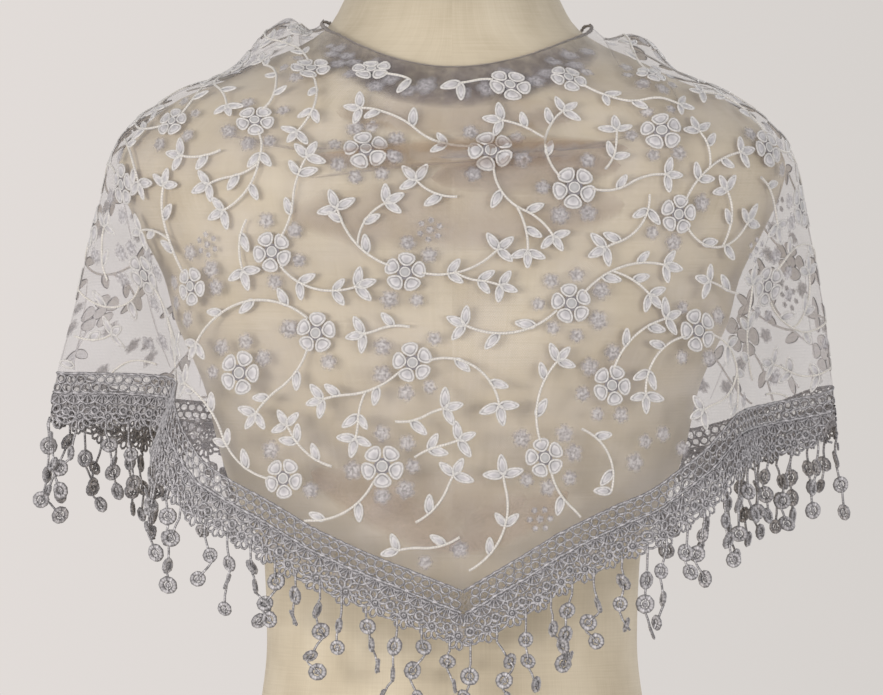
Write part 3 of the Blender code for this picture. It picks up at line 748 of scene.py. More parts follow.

# Wide soft strips of brown painted shade lie on the net under the fold across the chest and above
# the two hem legs, and fainter ones over the hollows between the net and the form.
CHEST_AND_HEM_SHADE_STRIPS = (
    (FRONT, 100, 499, -82, 492, 0, 21),  # under the fold across the chest
    (FRONT, 96, 489, -12, 482, 0, 26),
    (FRONT, -80, 316, 8, 272, 0, 30),  # above the two hem legs
    (FRONT, -2, 272, 66, 304, 0, 28),
)
HOLLOW_SHADE_STRIPS = (
    (FRONT, -66, 520, 70, 518, 0, 32),  # below the neckline
    (FRONT, -92, 461, 98, 467, 0, 52),  # across the bust
    (FRONT, -46, 303, 42, 300, 0, 40),  # over the point
)
FOLD_STEP, FOLD_LIFT, FOLD_THICKNESS, FOLD_TIP = 3.0, -0.35, -0.4, 0.1
SIDE_FOLDS = ((-90.6, 3.0), (90.6, 3.0))      # a turn and a width
FOLDED_STRIP = ((0.0, 0.1), (0.25, 0.35), (0.5, 0.85), (0.75, 1.0))      # from one edge to the other
SOFT_STRIP = ((0.0, 0.0), (0.25, 0.55), (0.45, 1.0), (0.55, 0.9), (0.75, 0.0))
# SHADED_NET is the brown of the painted shade strips.
SHADED_NET = (0.27, 0.16, 0.085)
FOLD_GRAIN, GRAIN_LOW, GRAIN_HIGH, GRAIN_SHADE = 1100.0, 0.35, 0.65, 0.85
RELIEF = ((1.0, 0.0), (0.55, 0.85), (-0.55, 0.85), (-1.0, 0.0))
CORD = ((1.0, 0.0), (0.0, 1.0), (-1.0, 0.0), (0.0, -1.0))
FAR_AWAY = 1000.0
net_surface = BVHTree.FromPolygons(net_cloth.points.reshape(-1, 3).tolist(), net_cloth.faces)


def sweep(place, normal, profile, half_width, thickness, lift, closed):
    """A thread's skin: the profile set square to each point of the path. A profile that goes below
    the path is a whole cord, and any other one is a low relief."""
    if closed:
        along = unit(np.roll(place, -1, axis=0) - np.roll(place, 1, axis=0))
    else:
        along = unit(np.gradient(place, axis=0))
    side = unit(np.cross(normal, along))
    profile = np.asarray(profile, float)
    sides = len(profile)
    half_width = np.broadcast_to(half_width, len(place))
    ring = (place[:, None] + side[:, None] * (half_width[:, None] * profile[:, 0])[..., None]
            + normal[:, None] * (profile[:, 1] * thickness + lift)[None, :, None])
    flat = np.stack([np.repeat(run_lengths(place), sides), np.tile(np.arange(sides) / sides, len(place))],
                    axis=-1)
    return ring.reshape(-1, 3), grid_faces(len(place), sides, closed, profile[:, 1].min() < 0), flat


class Heap:
    """Points, faces and flat coordinates of many small things, joined as one mesh."""

    def __init__(self):
        self.points, self.faces, self.flat, self.count = [], [], [], 0

    def put(self, points, faces, flat):
        self.points.append(points)
        self.flat.append(flat)
        self.faces.extend([tuple(self.count + k for k in face) for face in faces])
        self.count += len(points)

    def piece(self, name, material, slot):
        points, flat = np.concatenate(self.points), np.concatenate(self.flat)
        return new_piece(name, points, self.faces, material, flat, slot)


def on_the_net(crease):
    """Places and outward normals along a fold, on the side of the net that faces front or back."""
    face = crease["face"]
    start, end = np.array([crease["x1"], crease["z1"]]), np.array([crease["x2"], crease["z2"]])
    length = float(np.hypot(*(end - start)))
    share = np.linspace(0.0, 1.0, max(int(length / FOLD_STEP), 3))[:, None]
    aside = np.array([start[1] - end[1], end[0] - start[0]]) / length
    places, normals = [], []
    for x, z in start + share * (end - start) + crease["bow"] * 4 * share * (1 - share) * aside:
        place, normal, *_ = net_surface.ray_cast((x, -FAR_AWAY * face, z), (0.0, face, 0.0))
        if place is not None:
            places.append(place)
            normals.append(normal if normal[1] * face < 0 else -normal)
    return np.array(places), np.array(normals)


def lay_fold(heap, places, normals, width):
    """A strip of doubled net that narrows to a point at both ends."""
    share = np.linspace(0.0, 1.0, len(places))
    half_width = 0.5 * width * np.sin(math.pi * share) ** 0.5 + FOLD_TIP
    heap.put(*sweep(places, normals, RELIEF, half_width, FOLD_THICKNESS, FOLD_LIFT, False))


def lay_folds(rows, side_folds=()):
    heap = Heap()
    for row in rows:
        crease = named(row, FOLD_COLUMNS)
        places, normals = on_the_net(crease)
        if len(places) > 2:
            lay_fold(heap, places, normals, crease["width"])
    for turn_deg, width in side_folds:
        line = int(np.argmin(np.abs(np.degrees(turns) - turn_deg)))
        lay_fold(heap, net_cloth.points[line, 1:-1], net_cloth.normals[line, 1:-1], width)
    return heap


def folded_net_material(name, thin, dense, colour, across):
    """Net over net, too fine to show its mesh, or a strip of painted shade on the net, as its colour
    says. across is how much of it shows, from one edge of a strip to the other."""
    material, tree, shader = new_material(name)
    grain = noise(tree, in_space(tree), FOLD_GRAIN, 2.0)
    shown = colour_ramp(tree, parts_of(tree, on_cloth_map(tree))["Y"], across)
    shades = ((GRAIN_LOW, tuple(c * GRAIN_SHADE for c in colour)), (GRAIN_HIGH, colour))
    wire(tree, shader, Alpha=times(tree, remap(tree, grain, GRAIN_LOW, GRAIN_HIGH, thin, dense), shown),
         Base_Color=colour_ramp(tree, grain, shades), Roughness=0.7, Normal=bump(tree, grain, 0.2))
    return material


# The dark brown colour of the folds is partly painted shade.
net_folds = lay_folds(FOLDS, SIDE_FOLDS).piece("folded_net_with_painted_shade", folded_net_material(
    "doubled net with painted fold shade", thin=0.30, dense=0.55, colour=(0.22, 0.18, 0.16), across=FOLDED_STRIP),
    "embroidered_net")
# Painted shade: wide soft brown strips on the net.
shade_strips_piece = lay_folds(CHEST_AND_HEM_SHADE_STRIPS).piece("painted_shade_strips", folded_net_material(
    "painted shade strips on the net", thin=0.30, dense=0.46, colour=SHADED_NET, across=SOFT_STRIP),
    "embroidered_net")
hollow_shade_piece = lay_folds(HOLLOW_SHADE_STRIPS).piece("painted_hollow_shade", folded_net_material(
    "faint painted shade over the hollows", thin=0.17, dense=0.27, colour=SHADED_NET, across=SOFT_STRIP),
    "embroidered_net")


def thread_group():
    """The look of laid threads: fine ridges along or across a piece, and an uneven tone."""
    tree, start, end = new_group(
        "laid threads",
        (("Flat", "NodeSocketVector"), ("Pitch", "NodeSocketFloat", 1.0), ("Slant", "NodeSocketFloat", 0.0),
         ("Mottle", "NodeSocketFloat", 0.7)),
        (("Ridges", "NodeSocketFloat"), ("Tone", "NodeSocketFloat")),
    )
    flat, pitch, slant, mottle = (start.outputs[n] for n in ("Flat", "Pitch", "Slant", "Mottle"))
    parts = parts_of(tree, flat)
    place = math_node(tree, "DIVIDE", plus(tree, parts["X"], times(tree, parts["Y"], slant)), pitch)
    wave = math_node(tree, "SINE", times(tree, place, 2 * math.pi))
    wire(tree, end, Ridges=remap(tree, wave, -1.0, 1.0), Tone=noise(tree, flat, mottle, 3.0))
    return tree


laid_threads = thread_group()


def thread_material(name, dark, light, pitch, slant=0.0, roughness=0.5, ridges=0.3, mottle=0.7, sides=0.0):
    """Thread between two colours, with a ply or stitches of the given pitch in mm. ridges is how
    much the ply colours it, mottle how fine its tone varies, and sides how much painted shade
    darkens a cord from its two crowns to its edges."""
    material, tree, shader = new_material(name)
    flat = on_cloth_map(tree)
    laid = add(tree, "ShaderNodeGroup", (("node_tree", laid_threads),), Flat=flat, Pitch=pitch, Slant=slant,
               Mottle=mottle).outputs
    both = plus(tree, times(tree, laid["Ridges"], ridges), times(tree, laid["Tone"], 1.0 - ridges))
    off_middle = math_node(tree, "ABSOLUTE", minus(tree, parts_of(tree, flat)["Y"], 0.5))
    # Painted shade: the tone darkens from the two crowns of a cord to its edges, as much as sides says.
    painted_shade_off_crown = math_node(tree, "ABSOLUTE", minus(tree, off_middle, 0.25))
    tone = minus(tree, both, times(tree, painted_shade_off_crown, sides))
    wire(tree, shader, Base_Color=colour_ramp(tree, tone, ((0.3, dark), (0.7, light))), Roughness=roughness,
         Sheen_Weight=0.3, Normal=bump(tree, laid["Ridges"], 0.4))
    return material


# The long edge is overlocked: a dark wiry thread goes over and over it, round a cord.
SERGE_PITCH, SERGE_OVER, SERGE_UNDER, SERGE_WANDER = 1.2, 0.55, 1.25, 0.35
SERGE_CORE, SERGE_THREAD, SERGE_LIFT = 0.4, 0.2, 0.35
serge_rng = np.random.default_rng(3)


def serge_long_edge():
    edge, inner = net_cloth.points[:, 0], net_cloth.points[:, 1]
    run = run_lengths(edge)
    at = np.arange(0.0, run[-1], SERGE_PITCH / 2)
    places, down, normals = (points_at(at, run, line)
                             for line in (edge, unit(inner - edge), net_cloth.normals[:, 0]))
    heap = Heap()
    heap.put(*sweep(places[::4], normals[::4], CORD, SERGE_CORE, SERGE_CORE, 0.0, False))
    reach = np.where(np.arange(len(at)) % 2, SERGE_UNDER, -SERGE_OVER)
    reach = reach + serge_rng.uniform(-SERGE_WANDER, SERGE_WANDER, len(at))
    heap.put(*sweep(places + down * reach[:, None], normals, CORD, SERGE_THREAD, SERGE_THREAD, SERGE_LIFT,
                    False))
    return heap


serged_edge = serge_long_edge().piece("serged_long_edge", thread_material(
    "overlock thread", (0.16, 0.13, 0.115), (0.42, 0.37, 0.345), pitch=0.8, roughness=0.7),
    "embroidered_net")


# ================================================================ The embroidery
# Flowers, leaves and stems in satin stitch on the outside of the net, over a bobbin thread
# that shows on its inside. All are drawn on the flat cloth and carried onto the drape.
JUMP_STRETCH, JUMP_SLACK = 2.5, 1.0           # a thread that is pulled longer than this is cut there
PATCH_STRETCH, PATCH_SLACK = 1.6, 3.0         # a patch that is pulled wider than this is left out


class Threads:
    """Threads and small patches drawn on a flat cloth, laid on its drape as one mesh."""

    def __init__(self, cloth, profile):
        self.cloth, self.profile = cloth, np.asarray(profile, float)
        self.paths, self.patches = [], []

    def thread(self, path, half_width, thickness=None, lift=0.0, closed=False):
        """A thread along a flat path. The profile is scaled by its half width and thickness."""
        self.paths.append((np.asarray(path, float), half_width, thickness or half_width, lift, closed))

    def patch(self, path, heights, faces, flat):
        self.patches.append((np.asarray(path, float), np.asarray(heights, float), faces, flat))

    def carried(self, items):
        """Each item with its points on the drape, their normals, and which are on the cloth."""
        if not items:
            return []
        paths = [item[0] for item in items]
        cuts = np.cumsum([len(path) for path in paths])[:-1]
        return zip(items, *(np.split(found, cuts) for found in self.cloth.carry(np.concatenate(paths))))

    def piece(self, name, material, slot):
        """Everything that is on the cloth, as one piece."""
        heap = Heap()
        for (path, half_width, thickness, lift, closed), place, normal, on_cloth in self.carried(self.paths):
            if closed and not on_cloth.all():
                continue
            for run in unbroken_runs(path, place, on_cloth):
                heap.put(*sweep(place[run], normal[run], self.profile, half_width, thickness, lift,
                                closed and len(run) == len(path)))
        for (path, heights, faces, flat), place, normal, on_cloth in self.carried(self.patches):
            widest = PATCH_STRETCH * np.ptp(path, axis=0).max() + PATCH_SLACK
            if on_cloth.all() and np.ptp(place, axis=0).max() <= widest:
                heap.put(place + normal * heights[:, None], faces, np.asarray(flat, float))
        return heap.piece(name, material, slot)


def unbroken_runs(path, place, on_cloth):
    """Stretches of a path that are on the cloth and don't jump between its layers."""
    apart = np.linalg.norm(np.diff(place, axis=0), axis=1)
    wanted = np.linalg.norm(np.diff(path, axis=0), axis=1)
    joined = (apart < JUMP_STRETCH * wanted + JUMP_SLACK) & on_cloth[1:] & on_cloth[:-1]
    if joined.all():
        return [np.arange(len(path))]
    runs, start = [], 0
    for k in range(len(path)):
        if k == len(path) - 1 or not joined[k]:
            if k - start >= 1:
                runs.append(np.arange(start, k + 1))
            start = k + 1
    return runs


# A flower has five petals round a ringed eye; a leaf is a pointed oval. Each has an outline, a domed
# inside and bobbin thread behind it. Their heights are over the net, in mm.
FLOWER_RADIUS, PETALS = 11.5, 5
PETAL_MIDDLE, PETAL_LENGTH, PETAL_WIDTH, PETAL_WIDENING = 8.0, 3.8, 4.5, 0.34
LEAF_LENGTH, LEAF_WIDTH, LEAF_WIDENING, LEAF_POINT = 11.0, 4.5, 0.22, 0.25
OUTLINE_HALF_WIDTH, OUTLINE_RISE, OUTLINE_LIFT = 0.62, 0.75, 0.1
PETAL_RISE, LEAF_RISE, FILL_RIM = 0.55, 0.5, 0.15
DOME_SHOULDER, DOME_SHOULDER_RISE = 0.55, 0.85
PETAL_BACKING, LEAF_BACKING, BACKING_DEPTH, BACKING_STEPS = 1.1, 1.06, -0.2, 9
EYE_RADIUS, EYE_STEPS, EYE_HALF_WIDTH, EYE_RISE = 2.9, 12, 0.6, 0.95
EYE_SPREAD, EYE_RIM = 1.9, 0.3
EYE_BACKING_SPREAD, EYE_BACKING_DEPTH = 1.2, -0.15
FLOWER_SPACING, FLOWER_SIZES = 52.0, (0.9, 1.08)
FLOWER_MIDDLE_HEIGHT, FLOWER_HEIGHT_WEIGHT = 420.0, 0.7
EMBROIDERED_SPAN, EMBROIDERED_HEIGHTS = 620.0, (190.0, 640.0)
embroidery_rng = np.random.default_rng(11)

petal_lines = Threads(net_cloth, RELIEF)
petal_fills = Threads(net_cloth, RELIEF)
stem_lines = Threads(net_cloth, RELIEF)
tuft_fills = Threads(net_cloth, RELIEF)
eyes = Threads(net_cloth, RELIEF)
backing = Threads(net_cloth, RELIEF)


def turned(points, angle, centre, scale=1.0):
    c, s = math.cos(angle) * scale, math.sin(angle) * scale
    return np.asarray(points, float) @ np.array([[c, s], [-s, c]]) + centre


def around(steps):
    return np.linspace(0, 2 * math.pi, steps, endpoint=False)


def towards(angle):
    return np.array([math.cos(angle), math.sin(angle)])


def petal_outline(scale=1.0, steps=13):
    t = around(steps)
    along = PETAL_MIDDLE + scale * PETAL_LENGTH * np.cos(t)
    return np.stack([along, scale * PETAL_WIDTH * np.sin(t) * (1 + PETAL_WIDENING * np.cos(t))], axis=-1)


def leaf_outline(scale=1.0, steps=14):
    """A pointed oval from the stem at 0 to its tip."""
    t = around(steps)
    along = LEAF_LENGTH * (0.5 - 0.5 * scale * np.cos(t))
    width = LEAF_WIDTH / 2 * scale * np.sin(t) * (1 + LEAF_WIDENING * np.cos(t))
    return np.stack([along, width * np.abs(np.sin(t)) ** LEAF_POINT], axis=-1)


def circle(radius, steps=14):
    t = around(steps)
    return np.stack([radius * np.cos(t), radius * np.sin(t)], axis=-1)


def fill(threads, outline, angle, centre, scale, rise, rim):
    """A domed patch inside an outline. Its flat coordinates are the share of the way out from its
    middle and the share of its length from the flower's eye or the leaf's foot."""
    middle = outline.mean(axis=0, keepdims=True)
    inner = middle + (outline - middle) * DOME_SHOULDER
    local = np.concatenate([middle, inner, outline])
    n = len(outline)
    heights = np.concatenate([[rise], np.full(n, rise * DOME_SHOULDER_RISE), np.full(n, rim)])
    faces = []
    for k in range(n):
        after = (k + 1) % n
        faces.append((0, 1 + k, 1 + after))
        faces.append((1 + k, 1 + n + k, 1 + n + after, 1 + after))
    out = np.concatenate([[0.0], np.full(n, DOME_SHOULDER), np.ones(n)])
    along = (local[:, 0] - outline[:, 0].min()) / np.ptp(outline[:, 0])
    threads.patch(turned(local, angle, centre, scale), heights, faces, np.column_stack([out, along]))


def embroider_shape(outline, angle, place, scale, rise, backing_scale):
    """A petal or a leaf."""
    petal_lines.thread(turned(outline(), angle, place, scale), OUTLINE_HALF_WIDTH, OUTLINE_RISE,
                       OUTLINE_LIFT, True)
    fill(petal_fills, outline(), angle, place, scale, rise, FILL_RIM)
    fill(backing, outline(backing_scale, BACKING_STEPS), angle, place, scale, BACKING_DEPTH, BACKING_DEPTH)


def embroider_flower(centre, angle, scale):
    """A whole flower, or none where the cloth's edge would cut it."""
    if not net_cloth.carry(turned(circle(FLOWER_RADIUS), angle, centre, scale))[2].all():
        return
    for k in range(PETALS):
        turn = angle + k * 2 * math.pi / PETALS
        embroider_shape(petal_outline, turn, centre, scale, PETAL_RISE, PETAL_BACKING)
    petal_lines.thread(turned(circle(EYE_RADIUS, EYE_STEPS), angle, centre, scale), EYE_HALF_WIDTH,
                       EYE_RISE, OUTLINE_LIFT, True)
    fill(eyes, circle(EYE_RADIUS + EYE_SPREAD, EYE_STEPS), angle, centre, scale, EYE_RISE, EYE_RIM)
    fill(backing, circle(EYE_RADIUS + EYE_BACKING_SPREAD, BACKING_STEPS), angle, centre, scale,
         EYE_BACKING_DEPTH, EYE_BACKING_DEPTH)


# A stem curves one way and then the other. Leaves grow on its alternate sides, and three at its end.
# What is on the cloth keeps its distance, so that the motifs seldom touch.
STEM_STEP, STEM_LEAST_STEPS, COUNTER_BEND = 3.0, 4, -0.8
STEM_HALF_WIDTH, STEM_RISE, STEM_LIFT = 0.62, 0.85, 0.1
STEM_BACKING_HALF_WIDTH, STEM_BACKING_LIFT = STEM_HALF_WIDTH * 1.15, -0.1
SHORTEST_STEM_POINTS = 6      # a stem that the hem cuts shorter than this is left out
STEM_BENDS, STEM_FLIPS = (26.0, 52.0), (0.45, 1.3)
LEAF_SPACINGS = (0.8, 1.25)   # shares of a stem's own spacing
LEAF_TILTS, LEAF_SIZES = (0.55, 1.0), (0.85, 1.08)
PAIRED_LEAVES, PAIRED_TILTS, PAIRED_SIZES = 0.3, (0.6, 1.0), (0.8, 1.0)
END_SPREADS, END_SIZES, END_CLEARANCE = (1.1, 1.45), (0.88, 1.08), 8.0
STEM_REACH, STEM_TIP_REACH, STEM_SPARE = 3.0, 9.0, 7.0
LEAF_MIDDLE, LEAF_REACH, LEAF_SPARE, LEAF_OVERLAP = 6.5, 5.0, 1.0, 3.6
TURN_IN_REACH = 6.2


def stem_path(start, heading, length, bend, flip):
    """A smooth stem. It bends one way, and the other way past the flip, a share of its length."""
    steps = max(int(length / STEM_STEP), STEM_LEAST_STEPS)
    step = length / steps
    points, headings = [np.array(start, float)], [heading]
    for k in range(steps):
        way = bend * (1.0 if k / steps < flip else COUNTER_BEND)
        headings.append(headings[-1] + way * step)
        points.append(points[-1] + step * towards(headings[-1]))
    return np.array(points), np.array(headings)


class Crowd:
    """What is on the cloth so far, as points with a reach, so that new motifs keep clear."""

    def __init__(self):
        self.points = np.zeros((0, 3))

    def note(self, points, reach):
        points = np.asarray(points, float).reshape(-1, 2)
        self.points = np.vstack([self.points, np.column_stack([points, np.full(len(points), reach)])])

    def room(self, points, reach):
        """The least spare room round the points. Below 0 something is in the way."""
        points = np.asarray(points, float).reshape(-1, 2)
        gaps = np.linalg.norm(points[:, None] - self.points[None, :, :2], axis=2) - self.points[None, :, 2]
        return float(gaps.min() - reach)


crowd = Crowd()
crowd.note(turn_in_cloth.flat[::4, ::3], TURN_IN_REACH)


def leaves_along(path, headings, first, spacing):
    """Each leaf's foot, angle and size."""
    run = run_lengths(path)
    side = embroidery_rng.choice((-1, 1))
    leaves = []
    at = first
    while at < run[-1] - END_CLEARANCE:
        base = points_at(at, run, path)
        heading = float(np.interp(at, run, headings))
        leaves.append((base, heading + side * embroidery_rng.uniform(*LEAF_TILTS),
                       embroidery_rng.uniform(*LEAF_SIZES)))
        if embroidery_rng.random() < PAIRED_LEAVES:
            leaves.append((base, heading - side * embroidery_rng.uniform(*PAIRED_TILTS),
                           embroidery_rng.uniform(*PAIRED_SIZES)))
        side = -side
        at += spacing * embroidery_rng.uniform(*LEAF_SPACINGS)
    spread = embroidery_rng.uniform(*END_SPREADS)
    for turn in (-spread, 0.0, spread):
        leaves.append((path[-1], headings[-1] + turn, embroidery_rng.uniform(*END_SIZES)))
    return leaves


def best_stem(start, headings, lengths, tries=24, skip=4):
    """The freest of some random stems from a start. skip: the points of a stem that may be near it."""
    best, best_room = None, -math.inf
    for _ in range(tries):
        heading = embroidery_rng.uniform(*headings)
        length = embroidery_rng.uniform(*lengths)
        bend = embroidery_rng.choice((-1, 1)) / embroidery_rng.uniform(*STEM_BENDS)
        path, turning = stem_path(start, heading, length, bend, embroidery_rng.uniform(*STEM_FLIPS))
        tip = path[-1] + STEM_TIP_REACH * towards(turning[-1])
        room = crowd.room(np.vstack([path[skip:], tip]), STEM_SPARE)
        if room > best_room:
            best, best_room = (path, turning), room
    return best, best_room


def embroider_stem(path, headings, first=15.0, spacing=21.0):
    if np.count_nonzero(net_cloth.carry(path)[2]) >= SHORTEST_STEM_POINTS:
        stem_lines.thread(path, STEM_HALF_WIDTH, STEM_RISE, STEM_LIFT)
        backing.thread(path, STEM_BACKING_HALF_WIDTH, STEM_BACKING_LIFT, STEM_BACKING_LIFT)
    crowd.note(path, STEM_REACH)
    for base, angle, scale in leaves_along(path, headings, first, spacing):
        middle = base + LEAF_MIDDLE * towards(angle)
        if crowd.room(middle, LEAF_SPARE) > -LEAF_OVERLAP:
            embroider_shape(leaf_outline, angle, base, scale, LEAF_RISE, LEAF_BACKING)
            crowd.note(middle, LEAF_REACH)


def random_places(count):
    """Random points of the flat cloth."""
    low, high = EMBROIDERED_HEIGHTS
    tries = embroidery_rng.uniform((-EMBROIDERED_SPAN, low), (EMBROIDERED_SPAN, high), (count, 2))
    return tries[net_cloth.carry(tries)[2]]


def scattered(tries, spacing):
    """Those of the points that keep their distance from each other."""
    places = []
    for place in tries:
        if all(np.hypot(*(place - other)) > spacing for other in places):
            places.append(place)
    return places


STEM_START = FLOWER_RADIUS - 1.5
SPRAY_TRIES, SPRAY_LENGTHS, SPRAY_SWING, SPRAY_TURN, SPRAY_OVERLAP = 3, (46.0, 92.0), 0.9, 0.35, 4.0
BRANCH_LENGTHS, BRANCH_TURN, BRANCH_SWING, BRANCH_OVERLAP = (24.0, 42.0), 0.55, 0.3, 3.0
BRANCHED_STEM_POINTS, BRANCH_PLACES = 15, (0.35, 0.6)
SPRIG_LENGTHS, SPRIG_SPARE, SPRIG_OVERLAP = (26.0, 56.0), 6.0, 1.5
A_TURN = 6.28                 # near enough to a whole turn for where a ring starts


def flower_places():
    """Flower centres, scattered but never close together, from the middle of the front outward."""
    places = scattered(random_places(6000), FLOWER_SPACING)
    return sorted(places, key=lambda place: np.hypot(
        place[0], FLOWER_HEIGHT_WEIGHT * (place[1] - FLOWER_MIDDLE_HEIGHT)))


def embroider_spray(place, scale, heading):
    """One stem from a flower, where there is room for it, and a branch from its middle."""
    best, room = None, -math.inf
    for _ in range(SPRAY_TRIES):
        way = embroidery_rng.uniform(heading - SPRAY_SWING, heading + SPRAY_SWING)
        start = place + STEM_START * scale * towards(way)
        stem, free = best_stem(start, (way - SPRAY_TURN, way + SPRAY_TURN), SPRAY_LENGTHS, 12)
        if free > room:
            best, room = stem, free
    if room <= -SPRAY_OVERLAP:
        return
    path, turning = best
    embroider_stem(path, turning)
    if len(path) > BRANCHED_STEM_POINTS:
        fork = int(len(path) * embroidery_rng.uniform(*BRANCH_PLACES))
        side = turning[fork] + embroidery_rng.choice((-1, 1)) * BRANCH_TURN
        branch, free = best_stem(path[fork], (side - BRANCH_SWING, side + BRANCH_SWING), BRANCH_LENGTHS, 16)
        if free > -BRANCH_OVERLAP:
            embroider_stem(*branch, first=14.0)


def embroider_sprays():
    flowers = flower_places()
    for place in flowers:
        crowd.note(place, FLOWER_RADIUS + 1.0)
    for place in flowers:
        angle = embroidery_rng.uniform(0, 2 * math.pi)
        scale = embroidery_rng.uniform(*FLOWER_SIZES)
        embroider_flower(place, angle, scale)
        out = embroidery_rng.uniform(0, 2 * math.pi)
        for heading in (out, out + math.pi):
            embroider_spray(place, scale, heading)
    return flowers


def embroider_free_sprigs(count):
    for start in random_places(count):
        if crowd.room(start, SPRIG_SPARE) < 0.0:
            continue
        stem, room = best_stem(start, (0.0, 2 * math.pi), SPRIG_LENGTHS, 20, 0)
        if room > -SPRIG_OVERLAP:
            embroider_stem(*stem, first=9.0)


# A tuft is a small flower of loose loops, with five rounded lobes. Tufts ring each flower, lie in
# sevens as daisies, and show as pale blots on the turned-in edge.
TUFT_POINTS, TUFT_LOBE_POINTS, TUFT_NOTCH = 20, 4, 0.8
TUFT_RINGS = ((0.42, 1.0), (0.78, 0.75), (1.0, 0.05))     # the share of the way out, and of the height
TUFT_RADII, TUFT_HEIGHT, TUFT_REACH, TUFT_SPARE = (4.5, 6.4), 0.35, 4.0, 1.5
TUFT_UNEVEN, TUFT_EVERY_OTHER = (0.95, 1.05), 0.6
TUFT_DISTANCES, TUFT_COUNTS, TUFT_SWING = (16.5, 19.5), (6, 9), 0.12
DAISY_TUFTS, DAISY_MIDDLE, DAISY_TUFT, DAISY_RADIUS, DAISY_HEIGHT = 6, 2.6, 2.2, 5.9, 0.4
DAISY_SPARE, DAISY_REACH = 7.0, 8.0
TURN_IN_TUFT_RADII, TURN_IN_TUFT_HEIGHT, TURN_IN_TUFT_SPACING = (5.4, 8.6), 0.4, 10.4


def tuft(threads, centre, radius, height):
    t = around(TUFT_POINTS) + embroidery_rng.uniform(0, A_TURN)
    seed = embroidery_rng.uniform(0.0, 90.0)
    local, flat, heights = [(0.0, 0.0)], [(0.0, seed)], [height * 0.5]
    for share, rise in TUFT_RINGS:
        for k in range(TUFT_POINTS):
            notch = TUFT_NOTCH if k % TUFT_LOBE_POINTS == 0 and share > 0.5 else 1.0
            local.append(radius * share * notch * embroidery_rng.uniform(*TUFT_UNEVEN) * towards(t[k]))
            heights.append(height * rise * (1.0 if k % 2 else TUFT_EVERY_OTHER))
            flat.append((share, seed + k / TUFT_POINTS))
    faces = [(0, 1 + k, 1 + (k + 1) % TUFT_POINTS) for k in range(TUFT_POINTS)]
    for a, b, c, d in grid_faces(len(TUFT_RINGS), TUFT_POINTS, round_rows=True):
        faces.append((1 + a, 1 + d, 1 + c, 1 + b))
    threads.patch(np.array(local) + centre, heights, faces, flat)


def embroider_tufts(flowers):
    for place in flowers:
        count = embroidery_rng.integers(*TUFT_COUNTS)
        start = embroidery_rng.uniform(0, A_TURN)
        for k in range(count):
            angle = start + k * 2 * math.pi / count + embroidery_rng.uniform(-TUFT_SWING, TUFT_SWING)
            centre = place + embroidery_rng.uniform(*TUFT_DISTANCES) * towards(angle)
            if crowd.room(centre, TUFT_SPARE) > 0.0:
                tuft(tuft_fills, centre, embroidery_rng.uniform(*TUFT_RADII), TUFT_HEIGHT)
                crowd.note(centre, TUFT_REACH)


def embroider_daisies(count):
    """Six small tufts round a seventh, in what room is left."""
    for centre in random_places(count):
        if crowd.room(centre, DAISY_SPARE) > 0.0:
            tuft(tuft_fills, centre, DAISY_MIDDLE, DAISY_HEIGHT)
            start = embroidery_rng.uniform(0, A_TURN)
            for k in range(DAISY_TUFTS):
                place = centre + DAISY_RADIUS * towards(start + k * 2 * math.pi / DAISY_TUFTS)
                tuft(tuft_fills, place, DAISY_TUFT, DAISY_HEIGHT)
            crowd.note(centre, DAISY_REACH)


def embroider_turn_in(count):
    """The tufts on the part of the net that is turned in."""
    flat = turn_in_cloth.flat.reshape(-1, 2)
    tufts = Threads(turn_in_cloth, RELIEF)
    tries = embroidery_rng.uniform(flat.min(axis=0), flat.max(axis=0), (count, 2))
    for place in scattered(tries, TURN_IN_TUFT_SPACING):
        tuft(tufts, place, embroidery_rng.uniform(*TURN_IN_TUFT_RADII), TURN_IN_TUFT_HEIGHT)
    return tufts


# Two flowers lie over the turned-in edge, each with a short stem.
NECK_FLOWER_COLUMNS = ("across", "below_neckline", "angle", "stem_heading")
NECK_FLOWERS = ((-38.0, 18.0, 0.4, -0.6), (24.0, 19.0, 1.1, 3.0))
NECK_STEM_LENGTHS, NECK_STEM_SWING = (17.0, 26.0), 0.4


def embroider_by_the_neck(rows):
    for row in rows:
        row = named(row, NECK_FLOWER_COLUMNS)
        line = net_cloth.flat[int(np.argmin(np.abs(net_cloth.flat[:, 0, 0] - row["across"])))]
        centre = line[int(np.argmin(np.abs(run_lengths(line) - row["below_neckline"])))]
        embroider_flower(centre, row["angle"], 1.0)
        heading = row["stem_heading"]
        stem = best_stem(centre + STEM_START * towards(heading),
                         (heading - NECK_STEM_SWING, heading + NECK_STEM_SWING), NECK_STEM_LENGTHS)[0]
        embroider_stem(*stem, first=8.0)


embroidered_flowers = embroider_sprays()
embroider_free_sprigs(1500)
embroider_tufts(embroidered_flowers)
embroider_daisies(900)
turn_in_tufts = embroider_turn_in(2500)
embroider_by_the_neck(NECK_FLOWERS)


# The dark stops at 0.74 and 0.88 are painted shade in the groove inside the outline.
SATIN_COLOURS = ((0.0, (0.40, 0.375, 0.38)), (0.30, (0.48, 0.45, 0.455)), (0.60, (0.60, 0.57, 0.56)),
                 (0.74, (0.36, 0.335, 0.335)), (0.88, (0.38, 0.355, 0.35)), (1.0, (0.59, 0.56, 0.54)))
SATIN_UNEVEN, SATIN_STITCHES, SATIN_SPECKLE = 0.36, 26.0, 900.0
SATIN_FOOT, SATIN_OPEN, SATIN_FOOT_SHADE = 0.12, 0.55, 0.62
